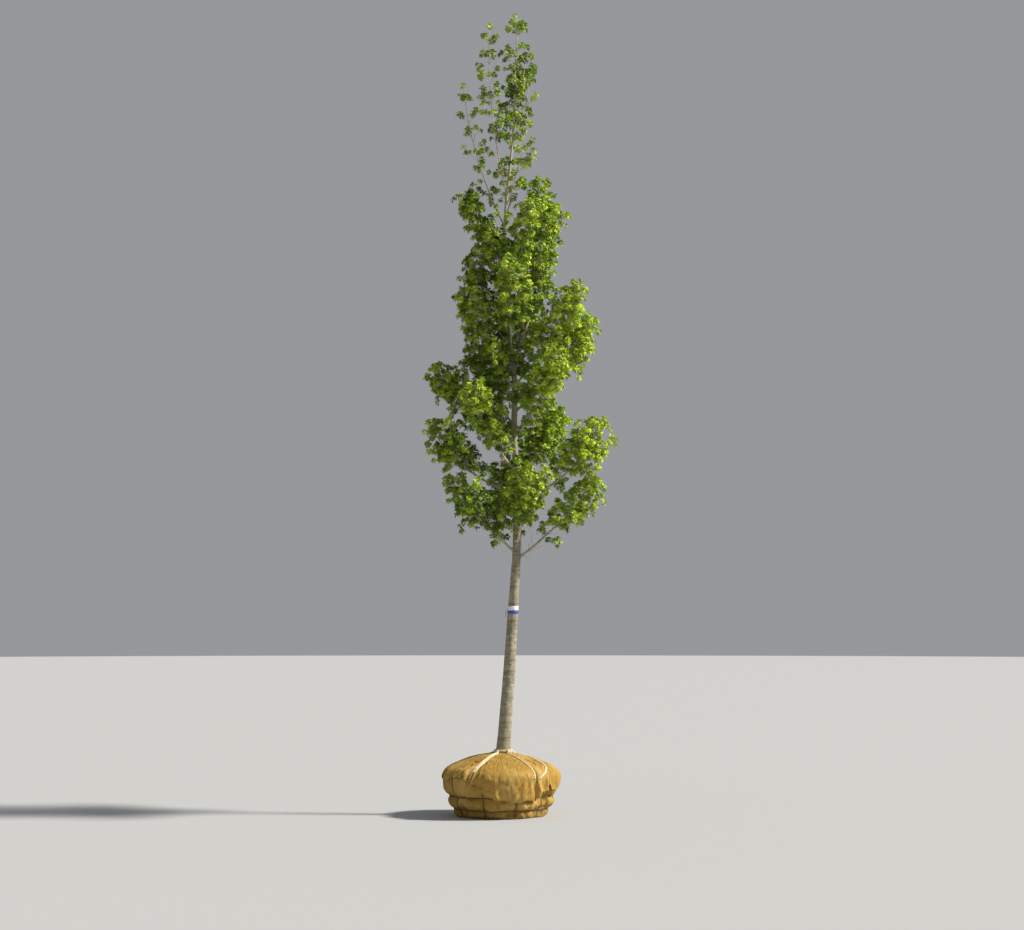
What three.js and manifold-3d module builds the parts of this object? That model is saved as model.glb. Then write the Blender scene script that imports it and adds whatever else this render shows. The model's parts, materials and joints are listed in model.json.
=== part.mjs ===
// A young maple in early leaf, standing on its root ball wrapped in burlap.
// Millimetres, +Z up. The origin is the middle of the ball's flat underside, and +X is to the right.
import * as THREE from "three";
import { mergeVertices } from "three/addons/utils/BufferGeometryUtils.js";
import Module from "manifold-3d";

const wasm = await Module();
wasm.setup();

const radians = THREE.MathUtils.degToRad;

// Room between two pieces that touch
const CLEAR = 0.3;

// Root ball, as rows of its side from the underside to the top: height and radius
const BALL_ROWS = [
  [0, 318],
  [14, 336],
  [58, 350],
  [104, 384],
  [152, 382],
  [196, 411],
  [246, 424],
  [300, 432],
  [334, 420],
  [366, 376],
  [396, 306],
  [424, 226],
  [444, 146],
  [454, 70],
];
const BALL_TOP = 457;
const BALL_COLUMNS = 30;
// Swells of the soft sides: how many there are round the ball, how far they stand out, where they start
const BALL_SWELLS = [
  { count: 3, depth: 0.018, start: 0.4 },
  { count: 5, depth: 0.014, start: 2.1 },
  { count: 8, depth: 0.009, start: 4.4 },
];

// Wire basket round the ball
const WIRE_RADIUS = 3;
const WIRE_ROOM = 0.7;
const WIRE_RING_ROWS = [2, 4];
const WIRE_UPRIGHTS = 10;
const UPRIGHT_PROUD = 2.5;
const WIRE_LAST_ROW = 7;

// Rope: a collar round the trunk's foot and strands down to the ball's rim
const ROPE_RADIUS = 7;
const ROPE_SUNK = 3;
const COLLAR_LOW = 462;
const COLLAR_HIGH = 488;
const COLLAR_THICK = 13;
const STRANDS = [
  { name: "rope_front_left", foot: 232, rim: 240 },
  { name: "rope_front_right", foot: 296, rim: 306 },
  { name: "rope_right_bowed", foot: 350, rim: 313 },
  { name: "rope_back_right", foot: 50, rim: 58 },
  { name: "rope_back_left", foot: 128, rim: 121 },
];
const STRAND_STEPS = 5;
const STRAND_START = 84;
const STRAND_END_HEIGHT = 292;
const STRAND_BOW = 1.5;
const STRAND_END_LEAN = 80;
const ROW_SEARCH_STEP = 0.05;

// Trunk stations: height, middle in X and Y, radius
const TRUNK = [
  [428, 20, 0, 61],
  [490, 24, 0, 54],
  [600, 32, 0, 49.5],
  [1040, 66, 5, 45],
  [1530, 96, 10, 38],
  [2020, 124, 8, 30],
  [2490, 118, 0, 24],
  [2870, 105, -6, 22],
  [3240, 106, -10, 20.5],
  [3600, 62, -6, 18.5],
  [3990, 38, 0, 16],
  [4480, 38, 6, 12],
  [5090, 94, 4, 8],
  [5540, 110, 0, 6],
  [5800, 122, -4, 4.8],
];
const TRUNK_SIDES = 10;
const TRUNK_STEP = 210;

// Bands of marking tape round the trunk
const TAPES = [
  { name: "tape_blue", low: 1492, high: 1512, color: 0x2b4fb5 },
  { name: "tape_white", low: 1514, high: 1546, color: 0xe9edf2 },
];
const TAPE_THICK = 1.6;

// Limbs, lowest first: height on the trunk, compass angle from +X towards +Y, first rise above the
// level, how far it turns up on its way, length, and how many of its steps are bare wood
const LIMBS = [
  { height: 1890, angle: 4, rise: 37, turn: 12, length: 790, bare: 3 },
  { height: 1935, angle: 196, rise: 40, turn: 14, length: 700, bare: 2 },
  { height: 2010, angle: 280, rise: 34, turn: 18, length: 700, bare: 2 },
  { height: 2080, angle: 98, rise: 34, turn: 18, length: 720, bare: 2 },
  { height: 2330, angle: 352, rise: 16, turn: 50, length: 850, bare: 3 },
  { height: 2390, angle: 177, rise: 14, turn: 46, length: 800, bare: 3 },
  { height: 2480, angle: 56, rise: 26, turn: 34, length: 760, bare: 2 },
  { height: 2560, angle: 236, rise: 26, turn: 34, length: 780, bare: 2 },
  { height: 2780, angle: 164, rise: 26, turn: 30, length: 800, bare: 2 },
  { height: 2820, angle: 306, rise: 30, turn: 30, length: 770, bare: 2 },
  { height: 2900, angle: 122, rise: 34, turn: 28, length: 760, bare: 2 },
  { height: 3000, angle: 8, rise: 36, turn: 28, length: 860, bare: 3 },
  { height: 3170, angle: 206, rise: 46, turn: 24, length: 780, bare: 2 },
  { height: 3200, angle: 342, rise: 44, turn: 22, length: 840, bare: 2 },
  { height: 3290, angle: 80, rise: 42, turn: 24, length: 740, bare: 2 },
  { height: 3360, angle: 22, rise: 65, turn: 32, length: 1380, bare: 2 },
  { height: 3430, angle: 268, rise: 44, turn: 24, length: 720, bare: 2 },
  { height: 3520, angle: 160, rise: 57, turn: 16, length: 660, bare: 2 },
  { height: 3860, angle: 112, rise: 46, turn: 22, length: 620, bare: 0 },
  { height: 3930, angle: 300, rise: 46, turn: 22, length: 640, bare: 0 },
  { height: 4010, angle: 352, rise: 36, turn: 30, length: 600, bare: 0 },
  { height: 4080, angle: 186, rise: 54, turn: 16, length: 560, bare: 0 },
  { height: 4400, angle: 178, rise: 63, turn: 20, length: 1060, bare: 0 },
  { height: 4460, angle: 62, rise: 58, turn: 22, length: 640, bare: 0 },
  { height: 4560, angle: 318, rise: 60, turn: 22, length: 660, bare: 0 },
  { height: 4640, angle: 206, rise: 74, turn: 18, length: 1220, bare: 0 },
  { height: 4960, angle: 96, rise: 62, turn: 20, length: 560, bare: 0 },
  { height: 5060, angle: 350, rise: 64, turn: 22, length: 520, bare: 0 },
  { height: 5330, angle: 28, rise: 66, turn: 18, length: 400, bare: 0 },
];
const LIMB_STEPS = 8;
const LIMB_SIDES = 5;
const LIMB_TIP_RADIUS = 3.2;
const LIMB_SLENDERNESS = 96;
const LIMB_SHARE_OF_TRUNK = 0.5;
const LIMB_TAPER = 0.8;

// Leader: the trunk's own tip, which carries on above its last station
const LEADER = { angle: 10, rise: 78, turn: 10, length: 130 };

// Growth of a mass of foliage on its stem
const STEM_SIDES = 4;
const STEM_STEP = 2;
const PAIR_SPACING = 150;
const PAIR_OFFSET = 0.45;
const PAIR_ROLL_SPREAD = 0.4;
const TWIG_ANGLE = 50;
const TWIG_ANGLE_SPREAD = 12;
const TWIG_LENGTH = 185;
const TWIG_LENGTH_SPREAD = 0.2;
const TWIG_ARCH_START = 0.25;
const TWIG_ARCH_SPAN = 0.62;
const TWIG_LIFT = 0.35;
const TWIG_RADIUS = 3.4;
const TWIG_TIP_RADIUS = 2.4;
const TWIG_SIDES = 3;
const SPIRE_START = 4300;
const SPIRE_TWIG_SHARE = 0.6;
const SPIRE_LEAF_SHARE = 0.75;
const TWIG_SHORTEST = 60;

// Leaves, each standing for a spray of young ones
const LEAF_LENGTH = 158;
const LEAF_WIDTH = 140;
const LEAF_THICK = 6;
const LEAF_HEART = 0.3;
const LEAF_SUNK = 5;
const LEAF_WIDEST = 0.55;
const LEAF_SPLAY = 55;
const LEAF_TILT = 1.0;
const LEAF_LEVEL = 0.45;
const SIDE_LEAF_PLACE = 0.55;
const END_LEAF_PLACE = 0.97;
const TIP_SIDE_LEAF_PLACE = 0.86;
const FIRST_SEED = 101;
const SEED_STEP = 37;

// Space kept by each mass
const SPACE_MARGIN = 7;
const SPACE_REACH = 330;
const TOUCH = 0.6;

// A repeatable row of numbers from 0 to 1
function seeded(seed) {
  let state = seed;
  return () => {
    state = (state * 16807) % 2147483647;
    return state / 2147483647;
  };
}

function heading(angle, rise) {
  const level = Math.cos(rise);
  return new THREE.Vector3(level * Math.cos(angle), level * Math.sin(angle), Math.sin(rise));
}

// Solids and meshes

function solidOf(geometry) {
  const bare = new THREE.BufferGeometry();
  bare.setAttribute("position", geometry.getAttribute("position"));
  bare.setIndex(geometry.index);
  const merged = mergeVertices(bare, 1e-3);
  const corners = merged.index.array;
  const faces = [];
  for (let i = 0; i < corners.length; i += 3) {
    const [a, b, c] = corners.subarray(i, i + 3);
    if (a !== b && b !== c && c !== a) faces.push(a, b, c);
  }
  const vertProperties = merged.getAttribute("position").array;
  return new wasm.Manifold(
    new wasm.Mesh({ numProp: 3, vertProperties, triVerts: new Uint32Array(faces) }),
  );
}

// The largest body of a solid: loose scraps are dropped and sealed hollows are filled
function largestBody(solid) {
  const bodies = solid.decompose();
  return bodies.reduce((best, body) => (body.volume() > best.volume() ? body : best));
}

function meshOf(name, solid, material) {
  const { vertProperties, triVerts } = solid.getMesh();
  const geometry = new THREE.BufferGeometry();
  geometry.setAttribute("position", new THREE.BufferAttribute(vertProperties, 3));
  geometry.setIndex(new THREE.BufferAttribute(triVerts, 1));
  geometry.computeVertexNormals();
  const mesh = new THREE.Mesh(geometry, material);
  mesh.name = name;
  return mesh;
}

// The way ahead at each point of a path
function waysAlong(points) {
  const last = points.length - 1;
  return points.map((_, i) =>
    points[Math.min(i + 1, last)].clone().sub(points[Math.max(i - 1, 0)]).normalize(),
  );
}

// A closed tube through the points, with a radius at each of them and its rings square to the ways
function tube(points, radii, sides, ways = waysAlong(points)) {
  const positions = [];
  const last = points.length - 1;
  const across = new THREE.Vector3(0.31, 0.95, 0.05);
  points.forEach((point, i) => {
    across.addScaledVector(ways[i], -across.dot(ways[i])).normalize();
    const upward = new THREE.Vector3().crossVectors(ways[i], across);
    for (let k = 0; k < sides; k++) {
      const turn = (2 * Math.PI * k) / sides;
      const corner = point.clone().addScaledVector(across, radii[i] * Math.cos(turn));
      corner.addScaledVector(upward, radii[i] * Math.sin(turn));
      positions.push(...corner.toArray());
    }
  });
  const faces = [];
  for (let i = 0; i < last; i++) {
    for (let k = 0; k < sides; k++) {
      const here = i * sides + k;
      const beside = i * sides + ((k + 1) % sides);
      faces.push(here, beside, here + sides, beside, beside + sides, here + sides);
    }
  }
  for (let k = 1; k < sides - 1; k++) {
    faces.push(0, k + 1, k);
    faces.push(last * sides, last * sides + k, last * sides + k + 1);
  }
  const geometry = new THREE.BufferGeometry();
  geometry.setAttribute("position", new THREE.Float32BufferAttribute(positions, 3));
  geometry.setIndex(faces);
  return geometry;
}

// Trunk

// Middle and radius of the trunk at a height, on a smooth curve through its stations
function trunkAt(height) {
  const last = TRUNK.length - 1;
  let i = 0;
  while (i < last - 1 && TRUNK[i + 1][0] < height) i++;
  const slope = (k, column) => {
    const before = TRUNK[Math.max(k - 1, 0)];
    const after = TRUNK[Math.min(k + 1, last)];
    return (after[column] - before[column]) / (after[0] - before[0]);
  };
  const span = TRUNK[i + 1][0] - TRUNK[i][0];
  const t = (height - TRUNK[i][0]) / span;
  const value = (column) =>
    (2 * t ** 3 - 3 * t ** 2 + 1) * TRUNK[i][column] +
    (t ** 3 - 2 * t ** 2 + t) * span * slope(i, column) +
    (3 * t ** 2 - 2 * t ** 3) * TRUNK[i + 1][column] +
    (t ** 3 - t ** 2) * span * slope(i + 1, column);
  return { point: new THREE.Vector3(value(1), value(2), height), radius: value(3) };
}

// A stretch of the trunk through rings at the given heights, made thicker by a given amount
function trunkStretch(heights, extra) {
  const stations = heights.map(trunkAt);
  const points = stations.map((station) => station.point);
  const radii = stations.map((station) => station.radius + extra);
  return solidOf(tube(points, radii, TRUNK_SIDES));
}

const TRUNK_FOOT = TRUNK[0][0];
const TRUNK_TOP = TRUNK[TRUNK.length - 1][0];
const trunkHeights = TRUNK.slice(0, -1).flatMap(([low], i) => {
  const span = TRUNK[i + 1][0] - low;
  const steps = Math.ceil(span / TRUNK_STEP);
  return Array.from({ length: steps }, (_, k) => low + (span * k) / steps);
});
trunkHeights.push(TRUNK_TOP);
const trunk = trunkStretch(trunkHeights, 0);

// The trunk with its clearance, which cuts what touches it
const trunkRoom = trunkStretch(
  [TRUNK_FOOT - CLEAR, ...trunkHeights.slice(1, -1), TRUNK_TOP + CLEAR],
  CLEAR,
);

// A band that fits round the trunk
function trunkBand(low, high, thick) {
  return trunkStretch([low, high], CLEAR + thick).subtract(trunkRoom);
}

// Root ball

function swell(angle) {
  return BALL_SWELLS.reduce(
    (sum, { count, depth, start }) => sum + depth * Math.sin(count * angle + start),
    1,
  );
}

// Height and radius of the ball's side, a share of the way along its rows
function ballRow(row) {
  const i = Math.min(Math.floor(row), BALL_ROWS.length - 2);
  const share = row - i;
  return [0, 1].map((k) => BALL_ROWS[i][k] + (BALL_ROWS[i + 1][k] - BALL_ROWS[i][k]) * share);
}

function ballPoint(angle, row, outward = 0) {
  const [height, radius] = ballRow(row);
  const reach = radius * swell(angle) + outward;
  return new THREE.Vector3(reach * Math.cos(angle), reach * Math.sin(angle), height);
}

// A profile of heights and radii turned round the ball's axis and swelled as its sides are
function turnedSolid(rows) {
  const profile = rows.map(([height, radius]) => new THREE.Vector2(radius, height));
  const geometry = new THREE.LatheGeometry(profile, BALL_COLUMNS);
  geometry.rotateX(Math.PI / 2);
  const position = geometry.getAttribute("position");
  for (let i = 0; i < position.count; i++) {
    const [x, y] = [position.getX(i), position.getY(i)];
    const stretch = swell(Math.atan2(y, x));
    position.setXY(i, x * stretch, y * stretch);
  }
  return solidOf(geometry);
}

const wholeBall = turnedSolid([[0, 0], ...BALL_ROWS, [BALL_TOP, 0]]);

// Wire basket: two rings and the uprights welded to them

const WIRE_OUTWARD = WIRE_RADIUS + WIRE_ROOM;

function wireRing(row) {
  const [height, radius] = BALL_ROWS[row];
  const middle = radius + WIRE_OUTWARD;
  return turnedSolid([
    [height - WIRE_RADIUS, middle],
    [height, middle + WIRE_RADIUS],
    [height + WIRE_RADIUS, middle],
    [height, middle - WIRE_RADIUS],
    [height - WIRE_RADIUS, middle],
  ]);
}

function wireUpright(column) {
  const angle = (2 * Math.PI * column) / BALL_COLUMNS;
  const points = [];
  for (let row = 1; row <= WIRE_LAST_ROW; row++) {
    points.push(ballPoint(angle, row, WIRE_OUTWARD + UPRIGHT_PROUD));
  }
  return solidOf(tube(points, points.map(() => WIRE_RADIUS), 4));
}

function basketSolid() {
  let basket = wireRing(WIRE_RING_ROWS[0]).add(wireRing(WIRE_RING_ROWS[1]));
  const spacing = BALL_COLUMNS / WIRE_UPRIGHTS;
  for (let k = 0; k < WIRE_UPRIGHTS; k++) basket = basket.add(wireUpright(k * spacing));
  return largestBody(basket);
}

// Rope strands, pressed a little into the burlap

// Share of the rows at which the dome has a given height
function rowAtHeight(height) {
  let row = BALL_ROWS.length - 1;
  while (BALL_ROWS[row - 1][0] > height) row--;
  const [low, high] = [BALL_ROWS[row - 1][0], BALL_ROWS[row][0]];
  return row - 1 + (height - low) / (high - low);
}

// A strand's rope, made thicker by a given amount: it leans out more and more towards the rim
function strandSolid({ foot, rim }, extra) {
  const centre = trunkAt(COLLAR_LOW).point;
  const start = centre.clone().addScaledVector(heading(radians(foot), 0), STRAND_START);
  const startRadius = Math.hypot(start.x, start.y);
  const startAngle = Math.atan2(start.y, start.x);
  const lastRow = rowAtHeight(STRAND_END_HEIGHT);
  let firstRow = BALL_ROWS.length - 1;
  while (ballRow(firstRow)[1] < startRadius) firstRow -= ROW_SEARCH_STEP;
  let sweep = radians(rim) - startAngle;
  sweep -= 2 * Math.PI * Math.round(sweep / (2 * Math.PI));
  const points = [];
  for (let i = 0; i <= STRAND_STEPS; i++) {
    const share = i / STRAND_STEPS;
    const angle = startAngle + sweep * share ** STRAND_BOW;
    const row = firstRow + (lastRow - firstRow) * share;
    const [, radius] = ballRow(row);
    const lean = Math.min(1, radius / BALL_ROWS[WIRE_LAST_ROW][1]) ** 3 * radians(STRAND_END_LEAN);
    const outward = heading(angle, Math.PI / 2 - lean);
    points.push(ballPoint(angle, row).addScaledVector(outward, ROPE_RADIUS - ROPE_SUNK));
  }
  return solidOf(tube(points, points.map(() => ROPE_RADIUS + extra), 6));
}

// Limbs

// Points of a limb at equal steps, from the middle of the trunk to the tip
function limbPath({ angle, rise, turn, length }, start) {
  const points = [start.clone()];
  for (let i = 0; i < LIMB_STEPS; i++) {
    const way = heading(radians(angle), radians(rise + (turn * (i + 0.5)) / LIMB_STEPS));
    points.push(points[i].clone().addScaledVector(way, length / LIMB_STEPS));
  }
  return points;
}

function limbRadii({ height, length }) {
  const most = trunkAt(height).radius * LIMB_SHARE_OF_TRUNK;
  const base = Math.min(most, LIMB_TIP_RADIUS + length / LIMB_SLENDERNESS);
  const radii = [];
  for (let i = 0; i <= LIMB_STEPS; i++) {
    radii.push(base + (LIMB_TIP_RADIUS - base) * (i / LIMB_STEPS) ** LIMB_TAPER);
  }
  return radii;
}

const limbs = LIMBS.map((limb, i) => {
  const points = limbPath(limb, trunkAt(limb.height).point);
  const number = String(i + 1).padStart(2, "0");
  return { ...limb, number, points, ways: waysAlong(points), radii: limbRadii(limb) };
});

function boughSolid({ points, ways, radii, bare }) {
  const [path, sizes, turns] = [points, radii, ways].map((list) => list.slice(0, bare + 1));
  return largestBody(solidOf(tube(path, sizes, LIMB_SIDES, turns)).subtract(trunkRoom));
}

// Stems: a bough's own way carried on from its tip, or a whole limb that leaves the trunk

function stemOf(limb) {
  const [path, radii, ways] = [limb.points, limb.radii, limb.ways].map((list) =>
    list.slice(limb.bare),
  );
  if (limb.bare > 0) path[0] = path[0].clone().addScaledVector(ways[0], CLEAR);
  const spire = limb.height > SPIRE_START;
  return { name: `foliage_${limb.number}`, path, radii, ways, onTrunk: limb.bare === 0, spire };
}

function leaderStem() {
  const { point, radius } = trunkAt(TRUNK_TOP);
  const path = limbPath(LEADER, point);
  const radii = path.map((_, i) => radius + ((TWIG_TIP_RADIUS - radius) * i) / LIMB_STEPS);
  return { name: "foliage_leader", path, radii, ways: waysAlong(path), onTrunk: true, spire: true };
}

const stems = [...limbs.map(stemOf), leaderStem()];

function distanceToPath(point, path) {
  const nearest = new THREE.Vector3();
  const line = new THREE.Line3();
  let least = Infinity;
  for (let i = 0; i + 1 < path.length; i++) {
    line.set(path[i], path[i + 1]).closestPointToPoint(point, true, nearest);
    least = Math.min(least, nearest.distanceTo(point));
  }
  return least;
}

// A point is in a stem's space where it is nearer to that stem than to any other, by a margin
function inSpace(point, stem) {
  const own = distanceToPath(point, stem.path);
  if (own > SPACE_REACH) return false;
  return stems.every(
    (other) => other === stem || distanceToPath(point, other.path) > own + SPACE_MARGIN,
  );
}

// Foliage

// A leaf: a thin kite whose root lies inside its twig
function leafSolid(root, way, face, size) {
  const across = new THREE.Vector3().crossVectors(face, way).normalize();
  const upright = new THREE.Vector3().crossVectors(way, across).normalize();
  const base = root.clone().addScaledVector(way, -LEAF_SUNK);
  const [length, width] = [LEAF_LENGTH * size, LEAF_WIDTH * size];
  const middle = base.clone().addScaledVector(way, length * LEAF_WIDEST);
  const corners = [
    base,
    middle.clone().addScaledVector(across, width / 2),
    base.clone().addScaledVector(way, length),
    middle.clone().addScaledVector(across, -width / 2),
  ];
  const heart = base.clone().addScaledVector(way, length * LEAF_HEART);
  const top = heart.clone().addScaledVector(upright, LEAF_THICK / 2);
  const bottom = heart.clone().addScaledVector(upright, -LEAF_THICK / 2);
  const positions = [...corners, top, bottom].flatMap((corner) => corner.toArray());
  const faces = [];
  for (let k = 0; k < 4; k++) {
    const next = (k + 1) % 4;
    faces.push(4, next, k, 5, k, next);
  }
  const geometry = new THREE.BufferGeometry();
  geometry.setAttribute("position", new THREE.Float32BufferAttribute(positions, 3));
  geometry.setIndex(faces);
  return { solid: solidOf(geometry), probes: [...corners.slice(1), heart] };
}

// Point and direction a share of the way along a path
function alongPath(path, share) {
  const place = share * (path.length - 1);
  const i = Math.min(Math.floor(place), path.length - 2);
  const way = path[i + 1].clone().sub(path[i]);
  const point = path[i].clone().addScaledVector(way, place - i);
  return { point, way: way.normalize() };
}

// A direction that leaves another one at an angle, on the side given by a roll round it
function branchWay(way, roll, angle) {
  const level = new THREE.Vector3(-way.y, way.x, 0);
  if (level.lengthSq() < 1e-4) level.set(1, 0, 0);
  level.normalize().applyAxisAngle(way, roll);
  return way.clone().multiplyScalar(Math.cos(angle)).addScaledVector(level, Math.sin(angle));
}

// One mass: pairs of twigs up its stem, each pair at right angles to the last, with leaves on them
function growFoliage(stem, seed, neighbours) {
  const random = seeded(seed);
  const spread = (amount) => (random() * 2 - 1) * amount;
  const steps = stem.path.length - 1;
  const kept = stem.path.map((_, i) => i).filter((i) => i % STEM_STEP === 0 || i === steps);
  const [path, radii, ways] = [stem.path, stem.radii, stem.ways].map((list) =>
    kept.map((i) => list[i]),
  );
  const whole = solidOf(tube(path, radii, STEM_SIDES, ways));
  const wood = stem.onTrunk ? largestBody(whole.subtract(trunkRoom)) : whole;
  const parts = [wood];

  // A new twig or leaf may touch only the piece that carries it
  const add = (carrier, solid, probes) => {
    const others = [...neighbours, ...parts.filter((part) => part !== carrier)];
    const fits =
      probes.every((probe) => inSpace(probe, stem)) &&
      others.every((other) => solid.minGap(other, TOUCH) >= TOUCH);
    if (fits) parts.push(solid);
    return fits;
  };

  const addLeaf = (carrier, root, way) => {
    const face = new THREE.Vector3(spread(LEAF_TILT), spread(LEAF_TILT), LEAF_LEVEL);
    const leaf = leafSolid(root, way, face, stem.spire ? SPIRE_LEAF_SHARE : 1);
    add(carrier, leaf.solid, leaf.probes);
  };

  const addTwig = (root, way, roll, length, hand) => {
    const angle = radians(TWIG_ANGLE + spread(TWIG_ANGLE_SPREAD));
    const onward = branchWay(way, roll, angle);
    onward.z += TWIG_LIFT;
    onward.normalize();
    const end = root.clone().addScaledVector(onward, length);
    const twig = solidOf(tube([root, end], [TWIG_RADIUS, TWIG_TIP_RADIUS], TWIG_SIDES));
    if (!add(wood, twig, [end])) return;
    const side = branchWay(onward, roll + (hand * Math.PI) / 2, radians(LEAF_SPLAY));
    addLeaf(twig, root.clone().lerp(end, END_LEAF_PLACE), onward);
    addLeaf(twig, root.clone().lerp(end, SIDE_LEAF_PLACE), side);
  };

  const stemLength = stem.path[0].distanceTo(stem.path[1]) * steps;
  const pairs = Math.max(2, Math.round(stemLength / PAIR_SPACING));
  const share = stem.spire ? SPIRE_TWIG_SHARE : 1;
  for (let i = 1; i <= pairs; i++) {
    const { point, way } = alongPath(stem.path, (i - PAIR_OFFSET) / pairs);
    const roll = (i * Math.PI) / 2 + spread(PAIR_ROLL_SPREAD);
    const arch = Math.sin(Math.PI * (TWIG_ARCH_START + (TWIG_ARCH_SPAN * i) / pairs));
    const length = Math.max(TWIG_SHORTEST, TWIG_LENGTH * share * arch);
    for (const hand of [-1, 1]) {
      const own = length * (1 + spread(TWIG_LENGTH_SPREAD));
      addTwig(point, way, roll + (hand * Math.PI) / 2, own, hand);
    }
  }
  const tip = alongPath(stem.path, END_LEAF_PLACE);
  const side = branchWay(tip.way, spread(Math.PI), radians(LEAF_SPLAY));
  addLeaf(wood, tip.point, tip.way);
  addLeaf(wood, alongPath(stem.path, TIP_SIDE_LEAF_PLACE).point, side);
  return largestBody(parts.reduce((all, part) => all.add(part)));
}

// Materials

const finish = (color, roughness, metalness = 0) =>
  new THREE.MeshStandardMaterial({ color, roughness, metalness });

const bark = finish(0x8b8173, 0.85);
const boughBark = finish(0x8f8577, 0.8);
const burlap = finish(0xb48a42, 0.95);
const rope = finish(0xe0d3b4, 0.9);
const wireSteel = finish(0x6b5a42, 0.6, 0.4);
const foliage = finish(0x8ea82c, 0.65);

// The whole plant

const plant = new THREE.Group();
plant.name = "maple_on_root_ball";

let ball = wholeBall.subtract(trunkRoom);
const strands = STRANDS.map((strand) => {
  ball = ball.subtract(strandSolid(strand, CLEAR));
  return { name: strand.name, solid: strandSolid(strand, 0) };
});
plant.add(meshOf("root_ball", largestBody(ball), burlap));
plant.add(meshOf("wire_basket", basketSolid(), wireSteel));
plant.add(meshOf("rope_collar", trunkBand(COLLAR_LOW, COLLAR_HIGH, COLLAR_THICK), rope));
strands.forEach(({ name, solid }) => plant.add(meshOf(name, solid, rope)));
plant.add(meshOf("trunk", trunk, bark));
TAPES.forEach(({ name, low, high, color }) => {
  plant.add(meshOf(name, trunkBand(low, high, TAPE_THICK), finish(color, 0.4)));
});

const neighbours = [trunk];
limbs
  .filter(({ bare }) => bare > 0)
  .forEach((limb) => {
    const bough = boughSolid(limb);
    neighbours.push(bough);
    plant.add(meshOf(`bough_${limb.number}`, bough, boughBark));
  });

stems.forEach((stem, i) => {
  const mass = growFoliage(stem, FIRST_SEED + SEED_STEP * i, neighbours);
  neighbours.push(mass);
  plant.add(meshOf(stem.name, mass, foliage));
});

export default plant;
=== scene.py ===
"""A young maple in early leaf, standing on its root ball wrapped in burlap, wire and rope.

Metres, +Z up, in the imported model's frame: the origin is the middle of the ball's flat underside.
"""

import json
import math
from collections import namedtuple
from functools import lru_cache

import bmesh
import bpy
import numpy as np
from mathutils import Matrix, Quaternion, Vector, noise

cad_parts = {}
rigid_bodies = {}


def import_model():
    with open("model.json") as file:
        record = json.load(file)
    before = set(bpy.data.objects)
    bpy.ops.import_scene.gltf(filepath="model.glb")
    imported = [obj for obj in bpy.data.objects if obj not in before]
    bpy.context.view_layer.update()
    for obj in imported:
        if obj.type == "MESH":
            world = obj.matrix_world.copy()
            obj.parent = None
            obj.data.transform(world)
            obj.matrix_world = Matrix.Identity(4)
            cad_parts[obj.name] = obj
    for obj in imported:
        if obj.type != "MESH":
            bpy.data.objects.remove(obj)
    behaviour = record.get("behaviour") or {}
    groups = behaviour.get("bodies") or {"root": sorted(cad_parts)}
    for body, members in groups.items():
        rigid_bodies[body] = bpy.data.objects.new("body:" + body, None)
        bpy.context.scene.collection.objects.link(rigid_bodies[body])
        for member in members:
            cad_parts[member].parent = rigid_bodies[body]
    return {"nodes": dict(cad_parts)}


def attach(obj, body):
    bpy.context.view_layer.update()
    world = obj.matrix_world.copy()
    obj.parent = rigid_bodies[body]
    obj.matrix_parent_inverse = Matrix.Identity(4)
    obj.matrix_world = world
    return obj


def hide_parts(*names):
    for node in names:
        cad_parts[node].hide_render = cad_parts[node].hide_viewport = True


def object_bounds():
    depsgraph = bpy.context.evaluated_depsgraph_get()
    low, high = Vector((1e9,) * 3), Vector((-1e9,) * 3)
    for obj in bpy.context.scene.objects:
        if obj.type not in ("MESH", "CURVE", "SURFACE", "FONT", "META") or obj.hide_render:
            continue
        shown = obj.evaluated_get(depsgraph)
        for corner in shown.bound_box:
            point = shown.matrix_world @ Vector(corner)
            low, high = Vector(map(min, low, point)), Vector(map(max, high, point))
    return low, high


bl_info = {
    "name": "Maple on a root ball",
    "version": (1, 0, 0),
    "blender": (4, 5, 0),
    "location": "View3D > Sidebar > Maple",
    "description": "Builds a young maple in early leaf, on its root ball wrapped in burlap, wire and rope",
    "category": "Add Mesh",
}

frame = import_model()
CAD_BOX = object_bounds()

UP = Vector((0.0, 0.0, 1.0))
FULL_TURN = 2 * math.pi
# Turn from one bud to the next round a stem
BUD_TURN = 2.4

# Root ball, as rows of its side from the underside to the top: height and radius
BALL_ROWS = (
    (0.000, 0.318), (0.014, 0.336), (0.058, 0.350), (0.104, 0.384), (0.152, 0.382), (0.196, 0.411),
    (0.246, 0.424), (0.300, 0.432), (0.334, 0.420), (0.366, 0.376), (0.396, 0.306), (0.424, 0.226),
    (0.444, 0.146), (0.454, 0.070),
)
BALL_TOP = 0.457
RIM_ROW = 7
RIM_RADIUS = BALL_ROWS[RIM_ROW][1]
# Swells of the soft sides: how many round the ball, how far they stand out, and where they start
BALL_SWELLS = ((3, 0.018, 0.4), (5, 0.014, 2.1), (8, 0.009, 4.4))

# Trunk stations: height, middle in X and Y, radius
TRUNK = (
    (0.428, 0.020, 0.000, 0.0610), (0.490, 0.024, 0.000, 0.0540), (0.600, 0.032, 0.000, 0.0495),
    (1.040, 0.066, 0.005, 0.0450), (1.530, 0.096, 0.010, 0.0380), (2.020, 0.124, 0.008, 0.0300),
    (2.490, 0.118, 0.000, 0.0240), (2.870, 0.105, -0.006, 0.0220), (3.240, 0.106, -0.010, 0.0205),
    (3.600, 0.062, -0.006, 0.0185), (3.990, 0.038, 0.000, 0.0160), (4.480, 0.038, 0.006, 0.0120),
    (5.090, 0.094, 0.004, 0.0080), (5.540, 0.110, 0.000, 0.0060), (5.800, 0.122, -0.004, 0.0048),
)
TRUNK_FOOT = TRUNK[0][0]
TRUNK_TOP = TRUNK[-1][0]

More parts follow.
